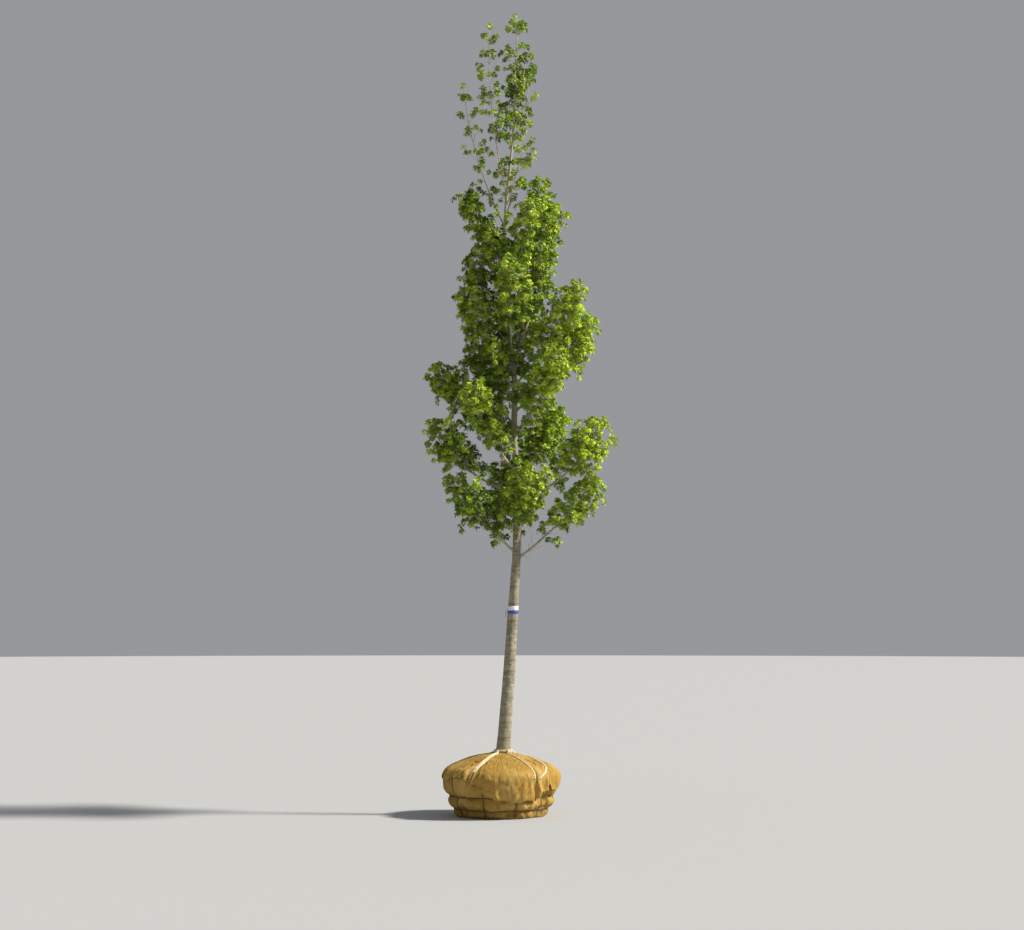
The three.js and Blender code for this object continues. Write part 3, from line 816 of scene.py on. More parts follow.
class ShapeTree(NodeBuilder):
    """A geometry node group with named inputs, which makes a plain mesh from a simpler one."""

    def __init__(self, name, **inputs):
        super().__init__(bpy.data.node_groups.new(name, "GeometryNodeTree"))
        face = self.tree.interface
        face.new_socket("Geometry", in_out="OUTPUT", socket_type="NodeSocketGeometry")
        self.sockets = {}
        for label, kind in {"Geometry": "Geometry", "Material": "Material", **inputs}.items():
            label = label.replace("_", " ")
            self.sockets[label] = face.new_socket(label, in_out="INPUT", socket_type="NodeSocket" + kind)
        self.start = self.tree.nodes.new("NodeGroupInput")
        self.end = self.tree.nodes.new("NodeGroupOutput")

    def given(self, label="Geometry"):
        return self.start.outputs[label]

    def attribute(self, name, kind="FLOAT"):
        node = self.add("GeometryNodeInputNamedAttribute", {"data_type": kind}, Name=name)
        return node.outputs["Attribute"]

    def close(self, geometry):
        """Realizes what is instanced and gives it its material."""
        real = self.add("GeometryNodeRealizeInstances", Geometry=geometry)
        painted = self.add("GeometryNodeSetMaterial", Geometry=real, Material=self.given("Material"))
        self.fill(self.end, Geometry=painted)

    def bake(self, name, mesh, material, **values):
        """The plain mesh that the tree makes from another one, which goes, as do helper attributes."""
        carrier = make_object(name + "_carrier", mesh)
        modifier = carrier.modifiers.new(self.tree.name, "NODES")
        modifier.node_group = self.tree
        for label, value in {"Material": material, **values}.items():
            modifier[self.sockets[label.replace("_", " ")].identifier] = value
        evaluated = carrier.evaluated_get(bpy.context.evaluated_depsgraph_get())
        result = bpy.data.meshes.new_from_object(evaluated)
        result.name = name
        result.materials.clear()
        result.materials.append(material)
        for helper in ("thickness", "axis", "size", "spin", "shape"):
            if helper in result.attributes:
                result.attributes.remove(result.attributes[helper])
        drop_object(carrier)
        return result


def drop_object(piece):
    """Takes an object and its mesh out of the file."""
    mesh = piece.data
    bpy.data.objects.remove(piece)
    bpy.data.meshes.remove(mesh)


def tube_tree():
    """Sweeps a round section along each chain of edges, as thick as its points say."""
    tree = ShapeTree("tubes_on_paths", Sides="Int")
    curves = tree.add("GeometryNodeMeshToCurve", Mesh=tree.given())
    circle = tree.add("GeometryNodeCurvePrimitiveCircle", Resolution=tree.given("Sides"), Radius=1.0)
    swept = tree.add(
        "GeometryNodeCurveToMesh",
        Curve=curves, Profile_Curve=circle, Scale=tree.attribute("thickness"), Fill_Caps=True,
    )
    tree.close(tree.add("GeometryNodeSetShadeSmooth", Geometry=swept, Shade_Smooth=True))
    return tree


def rope_tree():
    """Sweeps a three-lobed section along each chain of edges and twists it, as laid rope is."""
    tree = ShapeTree("laid_rope", Rope_radius="Float", Lay_length="Float", Step="Float")
    curves = tree.add("GeometryNodeMeshToCurve", Mesh=tree.given())
    even = tree.add("GeometryNodeResampleCurve", {"mode": "LENGTH"}, Curve=curves, Length=tree.given("Step"))
    run = tree.add("GeometryNodeSplineParameter").outputs["Length"]
    twist = tree.math("MULTIPLY", tree.math("DIVIDE", run, tree.given("Lay length")), FULL_TURN)
    twisted = tree.add("GeometryNodeSetCurveTilt", Curve=even, Tilt=twist)

    circle = tree.add(
        "GeometryNodeCurvePrimitiveCircle", Resolution=ROPE_SIDES, Radius=tree.given("Rope radius")
    )
    place = tree.add("GeometryNodeInputPosition")
    parts = tree.add("ShaderNodeSeparateXYZ", Vector=place)
    angle = tree.math("ARCTAN2", parts.outputs["Y"], parts.outputs["X"])
    wave = tree.math("COSINE", tree.math("MULTIPLY", angle, ROPE_STRANDS / 2))
    depth = tree.math("MULTIPLY_ADD", tree.math("ABSOLUTE", wave), ROPE_LOBE_DEPTH, -ROPE_GROOVE)
    inward = tree.add("ShaderNodeVectorMath", {"operation": "SCALE"}, Vector=place, Scale=depth)
    section = tree.add("GeometryNodeSetPosition", Geometry=circle, Offset=inward)
    swept = tree.add("GeometryNodeCurveToMesh", Curve=twisted, Profile_Curve=section, Fill_Caps=True)
    tree.close(tree.add("GeometryNodeSetShadeSmooth", Geometry=swept, Shade_Smooth=True))
    return tree


def spray_tree():
    """Puts one of the leaf sprays on each point, turned to its axis."""
    tree = ShapeTree("sprays_on_points", Sprays="Collection")
    shapes = tree.add(
        "GeometryNodeCollectionInfo",
        Collection=tree.given("Sprays"), Separate_Children=True, Reset_Children=True,
    )
    facing = tree.add(
        "FunctionNodeAlignRotationToVector", {"axis": "Z"}, Vector=tree.attribute("axis", "FLOAT_VECTOR")
    )
    spin = tree.add("FunctionNodeAxisAngleToRotation", Axis=UP, Angle=tree.attribute("spin"))
    turned = tree.add(
        "FunctionNodeRotateRotation", {"rotation_space": "LOCAL"}, Rotation=facing, Rotate_By=spin
    )
    tree.close(tree.add(
        "GeometryNodeInstanceOnPoints",
        Points=tree.given(), Instance=shapes, Pick_Instance=True,
        Instance_Index=tree.attribute("shape", "INT"), Rotation=turned, Scale=tree.attribute("size"),
    ))
    return tree


def chain_mesh(paths):
    """Chains of edges, one for each path, with a thickness for the path or for each of its points."""
    points = []
    edges = []
    thickness = []
    for path, thick in paths:
        edges += [(len(points) + i, len(points) + i + 1) for i in range(len(path) - 1)]
        points += [tuple(point) for point in path]
        thickness.extend(np.broadcast_to(thick, len(path)))
    mesh = bpy.data.meshes.new("paths")
    mesh.from_pydata(points, edges, [])
    add_attribute(mesh, "thickness", "FLOAT", thickness)
    return mesh


# Trunk

TRUNK_SIDES = 56
TRUNK_RING_STEP = 0.0072
# The flare at the trunk's foot: its ribs round the trunk, as count, share and start, and how it fades
FLARE_DEPTH = 0.055
FLARE_RIBS = ((5, 1.0, 0.9), (3, 0.5, 2.0))
FLARE_FADE = 0.06
# Lumps of the bark: share of the relief, how fine they are round the trunk, and how fine along it
BARK_GRAIN = 22
BARK_LUMPS = ((0.9, 1.0, 7.0), (0.35, 1.4, 46.0), (0.28, 0.8, 130.0), (0.22, 5.0, 9.0))
BARK_THIN_RADIUS = 0.045
# Scars of pruned limbs on the lower trunk, each a ring with a hollow in it
KNOT_SEED = 4211
KNOT_COUNT = 9
KNOT_LOW = 0.7
KNOT_HIGH = 1.86
KNOT_STEP_SHARES = (0.2, 0.8)
KNOT_TURN_SPREAD = 0.5
KNOT_RADIUS = 0.011
KNOT_FLATTENING = 0.8
KNOT_RING = (2.1, 0.45)
KNOT_HOLLOW = (1.5, 0.6)
KNOT_RANGE = 4
# Swelling of the trunk where a limb leaves it
COLLAR_SWELL = 0.3
COLLAR_REACH = 1.7
COLLAR_RANGE = 6
# How fine the bands and the mottling of the trunk's bark are
TRUNK_BARK_SCALES = (75.0, 26.0)


def trunk_knots():
    """Height and angle of each scar."""
    random = Seeded(KNOT_SEED)
    step = (KNOT_HIGH - KNOT_LOW) / KNOT_COUNT
    return [
        (
            KNOT_LOW + step * (i + random.between(*KNOT_STEP_SHARES)),
            BUD_TURN * i + random.spread(KNOT_TURN_SPREAD),
        )
        for i in range(KNOT_COUNT)
    ]


def trunk_relief(height, angle, radius, knots, relief):
    """How far the bark stands out from the trunk's smooth taper."""
    ribs = sum(share * math.cos(count * angle + start) for count, share, start in FLARE_RIBS)
    out = FLARE_DEPTH * radius * ribs * math.exp(-(height - TRUNK_FOOT) / FLARE_FADE)
    place = around(angle) * (radius * BARK_GRAIN)
    for share, across, along in BARK_LUMPS:
        out += relief * share * noise.noise(place * across + UP * (height * along))
    for knot_height, knot_angle in knots:
        if abs(height - knot_height) > KNOT_RANGE * KNOT_RADIUS:
            continue
        across = radius * turn_from(angle, knot_angle)
        away = math.hypot(across * KNOT_FLATTENING, height - knot_height) / KNOT_RADIUS
        ring = KNOT_RING[0] * bell((away - 1.0) / KNOT_RING[1])
        out += relief * (ring - KNOT_HOLLOW[0] * bell(away / KNOT_HOLLOW[1]))
    return out


def limb_feet():
    """Where each limb comes out of the trunk, and its radius there."""
    feet = []
    for limb in LIMBS:
        middle, radius = trunk_at(limb.height)
        rise = math.radians(limb.rise)
        out = heading(math.radians(limb.angle), rise) * (radius / math.cos(rise))
        feet.append((middle + out, limb_base_radius(limb)))
    return feet


def limb_collar(point, feet):
    """How far the trunk swells near the feet of its limbs."""
    out = 0.0
    for foot, base in feet:
        if abs(point.z - foot.z) < COLLAR_RANGE * base:
            out += COLLAR_SWELL * base * bell((point - foot).length / (COLLAR_REACH * base))
    return out


def trunk_mesh(relief):
    rings = round((TRUNK_TOP - TRUNK_FOOT) / TRUNK_RING_STEP)
    knots = trunk_knots()
    feet = limb_feet()
    points = []
    for i in range(rings + 1):
        height = TRUNK_FOOT + (TRUNK_TOP - TRUNK_FOOT) * i / rings
        middle, radius = trunk_at(height)
        share = min(1.0, radius / BARK_THIN_RADIUS)
        for angle in turns(TRUNK_SIDES):
            out = radius + share * trunk_relief(height, angle, radius, knots, relief)
            point = middle + around(angle) * out
            points.append(point + around(angle) * limb_collar(point, feet))
    return outward_mesh("trunk_bark", points, capped_tube_faces(rings + 1, TRUNK_SIDES))


# Boughs

BOUGH_SIDES = 12
BOUGH_STEP = 0.011
BOUGH_TIP_RADIUS = 0.0019
BOUGH_TAPER = 0.8
# Where a bough's rings start, and what sets one bough's lumps and waves apart from another's
BOUGH_FIRST_SIDE = (0.31, 0.95, 0.05)
BOUGH_SEED_STEPS = (3.1, 1.7, 0.0)
# Waves in a bough's run, how fine they are, how soon they start, and where each one is looked up
BOUGH_WANDER = 0.0045
BOUGH_WANDER_GRAIN = 7
BOUGH_WANDER_START = 6
BOUGH_WANDER_LAYERS = ((0.0, 0.3), (5.0, 0.3), (10.0, 0.3))
# The collar at a bough's foot: how much thicker it is, up to which share of the trunk's radius it is
# full, and how many of the bough's radii its fading takes
BOUGH_COLLAR = 0.42
BOUGH_COLLAR_START = 0.88
BOUGH_COLLAR_FADE = 1.6
# Buds on a bough: how far they swell, how close they stand, how short they are
BUD_SWELL = 0.1
BUD_CLOSENESS = 62
BUD_SHARPNESS = 8
# Lumps of a bough's bark: share, how fine they are round it, and how fine along it
BOUGH_LUMPS = ((1.0, 1.2, 90), (0.7, 0.9, 28))
BOUGH_RELIEF = 0.3
BOUGH_FULL_RELIEF_RADIUS = 0.012
# How fine the bands and the mottling of a bough's bark are
BOUGH_BARK_SCALES = (110.0, 48.0)


def limb_surface(limb, number, relief):
    """Rings of a limb from inside the trunk to its tip, with its collar, buds and bark."""
    path, shares = smooth_path(limb_path(limb), BOUGH_STEP)
    trunk_radius = trunk_at(limb.height)[1]
    base = trunk_radius if limb is LEADER else limb_base_radius(limb)
    collar = 0.0 if limb is LEADER else BOUGH_COLLAR
    seed = Vector([number * step for step in BOUGH_SEED_STEPS])
    across = Vector(BOUGH_FIRST_SIDE)
    points = []
    run = 0.0
    for i, (point, share, way) in enumerate(zip(path, shares, ways_along(path))):
        if i:
            run += (point - path[i - 1]).length
        across = (across - way * across.dot(way)).normalized()
        upward = way.cross(across)
        radius = base + (BOUGH_TIP_RADIUS - base) * share**BOUGH_TAPER
        free_run = max(0.0, run - trunk_radius * BOUGH_COLLAR_START)
        radius *= 1 + collar * math.exp(-free_run / (BOUGH_COLLAR_FADE * base))
        radius *= 1 + BUD_SWELL * max(0.0, math.sin(run * BUD_CLOSENESS)) ** BUD_SHARPNESS
        wander = BOUGH_WANDER * min(1.0, share * BOUGH_WANDER_START) * (1 - share**6)
        waves = [
            noise.noise(seed + Vector((run * BOUGH_WANDER_GRAIN, *layer))) for layer in BOUGH_WANDER_LAYERS
        ]
        middle = point + Vector(waves) * wander
        for turn in turns(BOUGH_SIDES):
            side = across * math.cos(turn) + upward * math.sin(turn)
            rough = sum(
                part * noise.noise(seed + side * round_it + UP * (run * along))
                for part, round_it, along in BOUGH_LUMPS
            )
            lump = relief * BOUGH_RELIEF * rough * radius / BOUGH_FULL_RELIEF_RADIUS
            points.append(middle + side * (radius + lump))
    return points, len(path)


def boughs_mesh(name, limbs, relief):
    points = []
    faces = []
    for number, limb in limbs:
        rings_points, rings = limb_surface(limb, number, relief)
        faces += capped_tube_faces(rings, BOUGH_SIDES, len(points))
        points += rings_points
    return outward_mesh(name, points, faces)


# Root ball, with the routes of its wires and ropes

BALL_HEIGHTS, BALL_RADII = zip(*BALL_ROWS)

# Wire basket: rings on rows of the ball, with small crimps in them, and uprights from row to row
WIRE_RING_ROWS = (2, 4)
WIRE_RING_STEPS = 120
WIRE_RING_GAP = 0.001
CRIMP_COUNT = 15
CRIMP_HEIGHT = 0.0025
CRIMP_SHARPNESS = 12
WIRE_UPRIGHTS = 10
WIRE_FIRST_ROW = 1
WIRE_UPRIGHT_STEPS = 30
WIRE_UPRIGHT_GAP = 0.0015
# Hooks that hold the ropes at the rim: half circles, a little more than half
HOOK_RADIUS = 0.0105
HOOK_POINTS = 15
HOOK_EXTRA_TURN = 0.5

# Rope: strands from a collar round the trunk's foot to the rim, by compass angles of their two ends
ROPE_SUNK = 0.003
STRANDS = ((232, 240), (296, 306), (350, 313), (50, 58), (128, 121))
STRAND_START = 0.084
STRAND_END_HEIGHT = 0.292
STRAND_END_LEAN = 80
STRAND_BOW = 1.5
STRAND_STEPS = 24
ROW_SEARCH_STEP = 0.05
# How far a strand's tucked end goes on, and how far in
TUCK = ((0.010, 0.002), (0.019, 0.014))
# The spare end beside the first strand: its share of the way, and its gap in radii of the rope
DOUBLED_SHARE = 0.72
DOUBLED_GAP = 1.9
DOUBLED_FIRST_SHARE = 0.4
DOUBLED_OPENING = 3
DOUBLED_END_GAP = 1.2
DOUBLED_END_LIFT = 0.004
# The collar, and the knot in front of it: sizes in radii of the rope
COLLAR_LOW = 0.462
COLLAR_HIGH = 0.488
COLLAR_TURNS = 2
COLLAR_STEPS = 96
COLLAR_GRIP = 0.9
TIE_ANGLE = -52
TIE_STAND = 2.1
TIE_SIZE = (0.62, 0.50, 0.70)
TIE_STEPS = 48


def swell(angle):
    """Radius of the ball's soft sides, as a share of their mean."""
    return 1 + sum(depth * math.sin(count * angle + start) for count, depth, start in BALL_SWELLS)


def ball_row(row):
    """Height and radius of the ball's side, a share of the way along its rows."""
    return [float(np.interp(row, range(len(BALL_ROWS)), column)) for column in (BALL_HEIGHTS, BALL_RADII)]


def ball_point(angle, row, outward=0.0):
    height, radius = ball_row(row)
    reach = radius * swell(angle) + outward
    return Vector((reach * math.cos(angle), reach * math.sin(angle), height))


def row_at_height(height):
    """Share of the rows at which the ball's side has a height."""
    row = next(i for i, here in enumerate(BALL_HEIGHTS) if here >= height)
    low, high = BALL_HEIGHTS[row - 1], BALL_HEIGHTS[row]
    return row - 1 + (height - low) / (high - low)


def wire_routes(wire_radius):
    """Routes of the basket's wires: level rings, and uprights from its foot to the rim."""
    routes = []
    for row in WIRE_RING_ROWS:
        ring = []
        for angle in np.linspace(0.0, FULL_TURN, WIRE_RING_STEPS + 1):
            crimp = CRIMP_HEIGHT * max(0.0, math.sin(angle * CRIMP_COUNT + row)) ** CRIMP_SHARPNESS
            ring.append(ball_point(angle, row, wire_radius + WIRE_RING_GAP) + UP * crimp)
        routes.append(ring)
    rows = np.linspace(WIRE_FIRST_ROW, RIM_ROW, WIRE_UPRIGHT_STEPS + 1)
    for angle in turns(WIRE_UPRIGHTS):
        routes.append([ball_point(angle, row, wire_radius + WIRE_UPRIGHT_GAP) for row in rows])
    return routes


def strand_route(foot, rim, rope_radius):
    """Points of a rope strand from the collar to the ball's rim, pressed a little into the cloth."""
    start = trunk_at(COLLAR_LOW)[0] + around(math.radians(foot)) * STRAND_START
    start_angle = math.atan2(start.y, start.x)
    sweep = math.radians(rim) - start_angle
    sweep -= FULL_TURN * round(sweep / FULL_TURN)
    last_row = row_at_height(STRAND_END_HEIGHT)
    first_row = float(len(BALL_ROWS) - 1)
    while ball_row(first_row)[1] < math.hypot(start.x, start.y):
        first_row -= ROW_SEARCH_STEP
    points = []
    for i in range(STRAND_STEPS + 1):
        share = i / STRAND_STEPS
        angle = start_angle + sweep * share**STRAND_BOW
        row = first_row + (last_row - first_row) * share
        lean = min(1.0, ball_row(row)[1] / RIM_RADIUS) ** 3 * math.radians(STRAND_END_LEAN)
        outward = heading(angle, math.pi / 2 - lean)
        points.append(ball_point(angle, row) + outward * (rope_radius - ROPE_SUNK))
    return points


def tied_strand(foot, rim, rope_radius):
    """A strand from the collar down to the rim, with its end tucked in."""
    middle, radius = trunk_at(COLLAR_LOW)
    tied = middle + around(math.radians(foot)) * (radius + rope_radius) + UP * (2 * rope_radius)
    route = strand_route(foot, rim, rope_radius)
    outward = around(math.radians(rim))
    onward = (route[-1] - route[-2]).normalized()
    return [tied, *route] + [route[-1] + onward * further - outward * deep for further, deep in TUCK]


def doubled_strand(rope_radius):
    """The spare end that lies beside the first strand for a part of its way."""
    foot, rim = STRANDS[0]
    route = tied_strand(foot, rim, rope_radius)
    left = leftward(around(math.radians(foot)))
    count = round(len(route) * DOUBLED_SHARE)
    opened = [min(1.0, DOUBLED_FIRST_SHARE + i / DOUBLED_OPENING) for i in range(count)]
    gaps = [DOUBLED_GAP * rope_radius * share for share in opened]
    end = route[count] + left * (DOUBLED_END_GAP * rope_radius) + UP * DOUBLED_END_LIFT
    return [point + left * gap for point, gap in zip(route, gaps)] + [end]


def hook_route(foot, rim, rope_radius):
    """The wire hook that holds a strand's end down at the rim."""
    end = strand_route(foot, rim, rope_radius)[-1]
    outward = around(math.radians(rim))
    left = leftward(outward)
    turns = np.linspace(-HOOK_EXTRA_TURN, math.pi + HOOK_EXTRA_TURN, HOOK_POINTS)
    return [end + (left * math.cos(turn) + outward * math.sin(turn)) * HOOK_RADIUS for turn in turns]


def collar_route(rope_radius):
    """Turns of rope round the trunk's foot."""
    points = []
    for share in np.linspace(0.0, 1.0, COLLAR_STEPS + 1):
        height = COLLAR_LOW + rope_radius + (COLLAR_HIGH - COLLAR_LOW - 2 * rope_radius) * share
        middle, radius = trunk_at(height)
        angle = math.radians(TIE_ANGLE) + FULL_TURN * COLLAR_TURNS * share
        points.append(middle + around(angle) * (radius + rope_radius * COLLAR_GRIP))
    return points


def knot_route(rope_radius):
    """A small overhand knot at the front of the collar."""
    middle, radius = trunk_at((COLLAR_LOW + COLLAR_HIGH) / 2)
    out = around(math.radians(TIE_ANGLE))
    centre = middle + out * (radius + rope_radius * TIE_STAND)
    wide, tall, deep = (share * rope_radius for share in TIE_SIZE)
    points = []
    for t in np.linspace(0.0, FULL_TURN, TIE_STEPS + 1):
        across = wide * (math.sin(t) + 2 * math.sin(2 * t))
        upward = tall * (math.cos(t) - 2 * math.cos(2 * t))
        points.append(centre + leftward(out) * across + UP * upward - out * (deep * math.sin(3 * t)))
    return points


# Burlap: the wrap round the ball, and the flap of its top that is laced down over the rim

CLOTH_THICKNESS = 0.0026
BALL_MIDDLE = (0.0, 0.0, 0.2)
PROFILE_STEP = 0.002

# Heights between which the wrap comes free of the floor, and between which it slips under the flap
WRAP_FREE = (0.002, 0.03)
WRAP_COVERED = (-0.045, -0.005)
WRAP_UNDER_FLAP = 0.006

FLAP_NECK_RADIUS = 0.062
FLAP_NECK_RISE = 0.01
FLAP_NECK_FADE = 0.02
# Radii between which the flap turns from the ball's middle to the trunk's
FLAP_CENTRING = (0.20, 0.07)
FLAP_BASE = 0.0015
FLAP_OVER_RIM = 0.008
FLAP_RIM_HEIGHTS = (0.36, 0.30)
FLAP_HEM_LIFT = 0.013

# Folds of the cloth: how deep and how fine they are. A slant shifts folds unevenly, a run is how fast
# they change down the cloth, and a layer is where their noise is looked up
Fold = namedtuple("Fold", "depth grain")
WRAP_SLANT = Fold(0.5, 3.0)
WRAP_DRAPES = Fold(0.011, 7.5)
WRAP_DRAPES_RUN = 1.6
WRAP_PLEATS = Fold(0.0045, 9.0)
WRAP_PLEATS_RUN = 0.55
WRAP_PLEATS_SLANT = 0.35
WRAP_BULGES = Fold(0.008, 5.0)
WRAP_CREASES = Fold(0.003, 11.0)
WRAP_CREASES_LAYER = 3.0
FLAP_SLANT = Fold(0.4, 5.0)
FLAP_GATHERS = Fold(0.006, 4.2)
FLAP_GATHERS_FADE = 0.085
FLAP_RAYS = Fold(0.0075, 5.5)
FLAP_RAYS_RUN = 1.3
FLAP_RAYS_RADIUS = 0.3
FLAP_BULGES = Fold(0.009, 6.5)
FLAP_BULGES_LAYER = 2.0
FLAP_CREASES = Fold(0.0028, 13.0)
FLAP_CREASES_LAYER = 2.0
FLAP_HEM_WAVES = Fold(0.016, 8.0)
FLAP_HEM_LAYER = 7.0
FLAP_FRAY = (Fold(0.012, 9.0), Fold(0.004, 40.0))
RIDGE_SHARPNESS = 2.6

# Free edge of the flap: compass angle and height, with its tears: angle, half width and depth
FLAP_EDGE = (
    (0, 0.245), (25, 0.260), (60, 0.225), (95, 0.270), (130, 0.240), (160, 0.285),
    (185, 0.325), (205, 0.300), (222, 0.315), (240, 0.275), (262, 0.192), (285, 0.162),
    (305, 0.172), (322, 0.215), (338, 0.235), (350, 0.240),
)
FLAP_TEARS = (
    (46, 4.0, 0.05), (118, 5.0, 0.06), (176, 3.5, 0.035), (197, 4.5, 0.05),
    (214, 3.0, 0.040), (231, 5.0, 0.045), (248, 3.0, 0.030), (330, 3.5, 0.035),
)
# Swags that hang in the flap: compass angle, height of the middle, radius and depth
FLAP_SWAGS = (
    (276, 0.222, 0.066, 0.021), (318, 0.262, 0.050, 0.012), (254, 0.285, 0.042, 0.009),
    (20, 0.290, 0.055, 0.012), (78, 0.280, 0.060, 0.013), (146, 0.290, 0.058, 0.012),
)
SWAG_WIDTH = 0.24
SWAG_HOLLOW = 0.6

# What each cloth has of its own. Its grid; how wide ropes or wires pinch it, and how far it stands out
# under them; below which fold it gets painted shade, and the shares of folds and of pinches in that painted
# shade. Then its simulation, in which a coarser sheet settles: that sheet's steps, how many rows at its
# start are fixed, its extra size, its frames, the furthest that a point may move, the pressure inside, and
# whether it lies on the ball
Cloth = namedtuple(
    "Cloth",
    "rows columns pinch stand crease_fold fold_share pinch_share"
    " row_step column_step fixed_rows extra frames furthest pressure on_ball",
)
WRAP = Cloth(200, 320, 0.013, -0.0015, 0.0, 0.8, 0.45, 4, 2, 3, 0.07, 20, 0.014, 0.15, False)
FLAP = Cloth(100, 360, 0.015, 0.3 * FLAP_BASE, 0.004, 0.7, 0.22, 2, 2, 4, 0.11, 30, 0.030, 0.0, True)
# How far a fold sinks before it gets its full share of painted shade
CREASE_DEPTH = 0.012
CLOTH_SETTINGS = {
    "quality": 6, "mass": 0.25, "tension_stiffness": 14.0, "compression_stiffness": 14.0,
    "shear_stiffness": 5.0, "bending_stiffness": 0.6, "air_damping": 1.5,
}
CLOTH_REST_DISTANCE = 0.002
CLOTH_FRICTION = 15.0
CORE_DEPTH = 0.002


class BallProfile:
    """The ball's side as a smooth line from the underside to the top, by length along it."""

    def __init__(self):
        rows = [Vector((radius, 0.0, height)) for height, radius in BALL_ROWS]
        line, _ = smooth_path(rows, PROFILE_STEP)
        self.radii = np.array([point.x for point in line])
        self.heights = np.maximum.accumulate(np.array([max(0.0, point.z) for point in line]))
        steps = np.hypot(np.diff(self.radii), np.diff(self.heights))
        self.lengths = np.concatenate([[0.0], np.cumsum(steps)])
        self.out = np.gradient(self.heights, self.lengths)
        self.rise = -np.gradient(self.radii, self.lengths)

    def length_at(self, height):
        return float(np.interp(height, self.heights, self.lengths))

    def length_at_radius(self, radius):
        """Length at which the dome narrows to a radius."""
        widest = self.radii.argmax()
        return float(np.interp(-radius, -self.radii[widest:], self.lengths[widest:]))

    def at(self, run):
        """Radius and height, and the outward direction as its level and upward parts."""
        columns = (self.radii, self.heights, self.out, self.rise)
        radius, height, out, rise = (float(np.interp(run, self.lengths, values)) for values in columns)
        size = math.hypot(out, rise)
        return radius, height, out / size, rise / size


def pressed_by(routes, points, pinch):
    """How far each point of a cloth is pressed down: 1 under a rope or wire, nothing away from them."""
    least = np.full(len(points), np.inf)
    for route in routes:
        for here, there in zip(route, route[1:]):
            start = np.array(here)
            along = np.array(there) - start
            share = np.clip((points - start) @ along / (along @ along), 0.0, 1.0)
            least = np.minimum(least, np.linalg.norm(points - start - share[:, None] * along, axis=1))
    return np.exp(-((least / pinch) ** 2))


def ridges(place, grain):
    """Sharp creases with soft valleys between them, 1 at the most."""
    return 1 - RIDGE_SHARPNESS * abs(noise.noise(place * grain))


def wrap_fold(angle, height):
    """How far the wrap stands out: drapes that hang from the rim, soft bulges and creases."""
    out = around(angle)
    place = out * RIM_RADIUS + UP * height
    slant = WRAP_SLANT.depth * noise.noise(place * WRAP_SLANT.grain)
    drapes = noise.noise(out * WRAP_DRAPES.grain + UP * (height * WRAP_DRAPES_RUN + slant))
    upward = UP * (height * WRAP_PLEATS_RUN + WRAP_PLEATS_SLANT * slant)
    pleats = ridges(out + upward, WRAP_PLEATS.grain)
    bulges = noise.noise(place * WRAP_BULGES.grain)
    creases = ridges(place + UP * WRAP_CREASES_LAYER, WRAP_CREASES.grain)
    return (
        WRAP_DRAPES.depth * drapes + WRAP_PLEATS.depth * pleats
        + WRAP_BULGES.depth * bulges + WRAP_CREASES.depth * creases
    )


def flap_end(angle):
    """Height of the flap's free edge, torn and frayed."""
    degrees = math.degrees(angle)
    angles, heights = zip(*FLAP_EDGE)
    height = float(np.interp(degrees, [*angles, 360], [*heights, heights[0]]))
    for middle, half, depth in FLAP_TEARS:
        away = abs((degrees - middle + 180) % 360 - 180) / half
        height += depth * max(0.0, 1 - away)
    for fold in FLAP_FRAY:
        height += fold.depth * noise.noise(around(angle) * fold.grain)
    return height


def swag_depth(angle, height):
    """Crescent folds that hang in the flap, each with a hollow above it."""
    out = 0.0
    for degrees, middle, reach, depth in FLAP_SWAGS:
        across = RIM_RADIUS * turn_from(angle, math.radians(degrees))
        upward = height - middle
        away = math.hypot(across, upward)
        if away < 2 * reach:
            low = 0.5 - 0.5 * upward / (away + 1e-6)
            out += depth * low * bell((away - reach) / (SWAG_WIDTH * reach))
            inside = math.hypot(across, SWAG_HOLLOW * upward) / (SWAG_HOLLOW * reach)
            out -= SWAG_HOLLOW * depth * bell(inside)
    return out


def flap_fold(angle, radius, height, share):
    """How far the flap stands out: gathers at the neck, folds over the rim, waves at the hem."""
    out = around(angle)
    place = out * radius + UP * height
    near_neck = math.exp(-(radius - FLAP_NECK_RADIUS) / FLAP_GATHERS_FADE)
    slant = FLAP_SLANT.depth * noise.noise(place * FLAP_SLANT.grain)
    gathers = ridges(out + UP * slant, FLAP_GATHERS.grain)
    rays = noise.noise(out * FLAP_RAYS.grain + UP * (radius * FLAP_RAYS_RUN))
    bulges = noise.noise(place * FLAP_BULGES.grain + UP * FLAP_BULGES_LAYER)
    creases = ridges(place + out * FLAP_CREASES_LAYER, FLAP_CREASES.grain)
    waves = noise.noise(out * FLAP_HEM_WAVES.grain + UP * FLAP_HEM_LAYER)
    lift = FLAP_BASE + FLAP_OVER_RIM * smooth_step(*FLAP_RIM_HEIGHTS, height)
    far_from_neck = min(1.0, radius / FLAP_RAYS_RADIUS)
    lift += FLAP_GATHERS.depth * near_neck * gathers + FLAP_RAYS.depth * rays * far_from_neck
    lift += FLAP_BULGES.depth * bulges + FLAP_CREASES.depth * creases
    lift += share**4 * (FLAP_HEM_LIFT + FLAP_HEM_WAVES.depth * waves)
    return lift + swag_depth(angle, height)


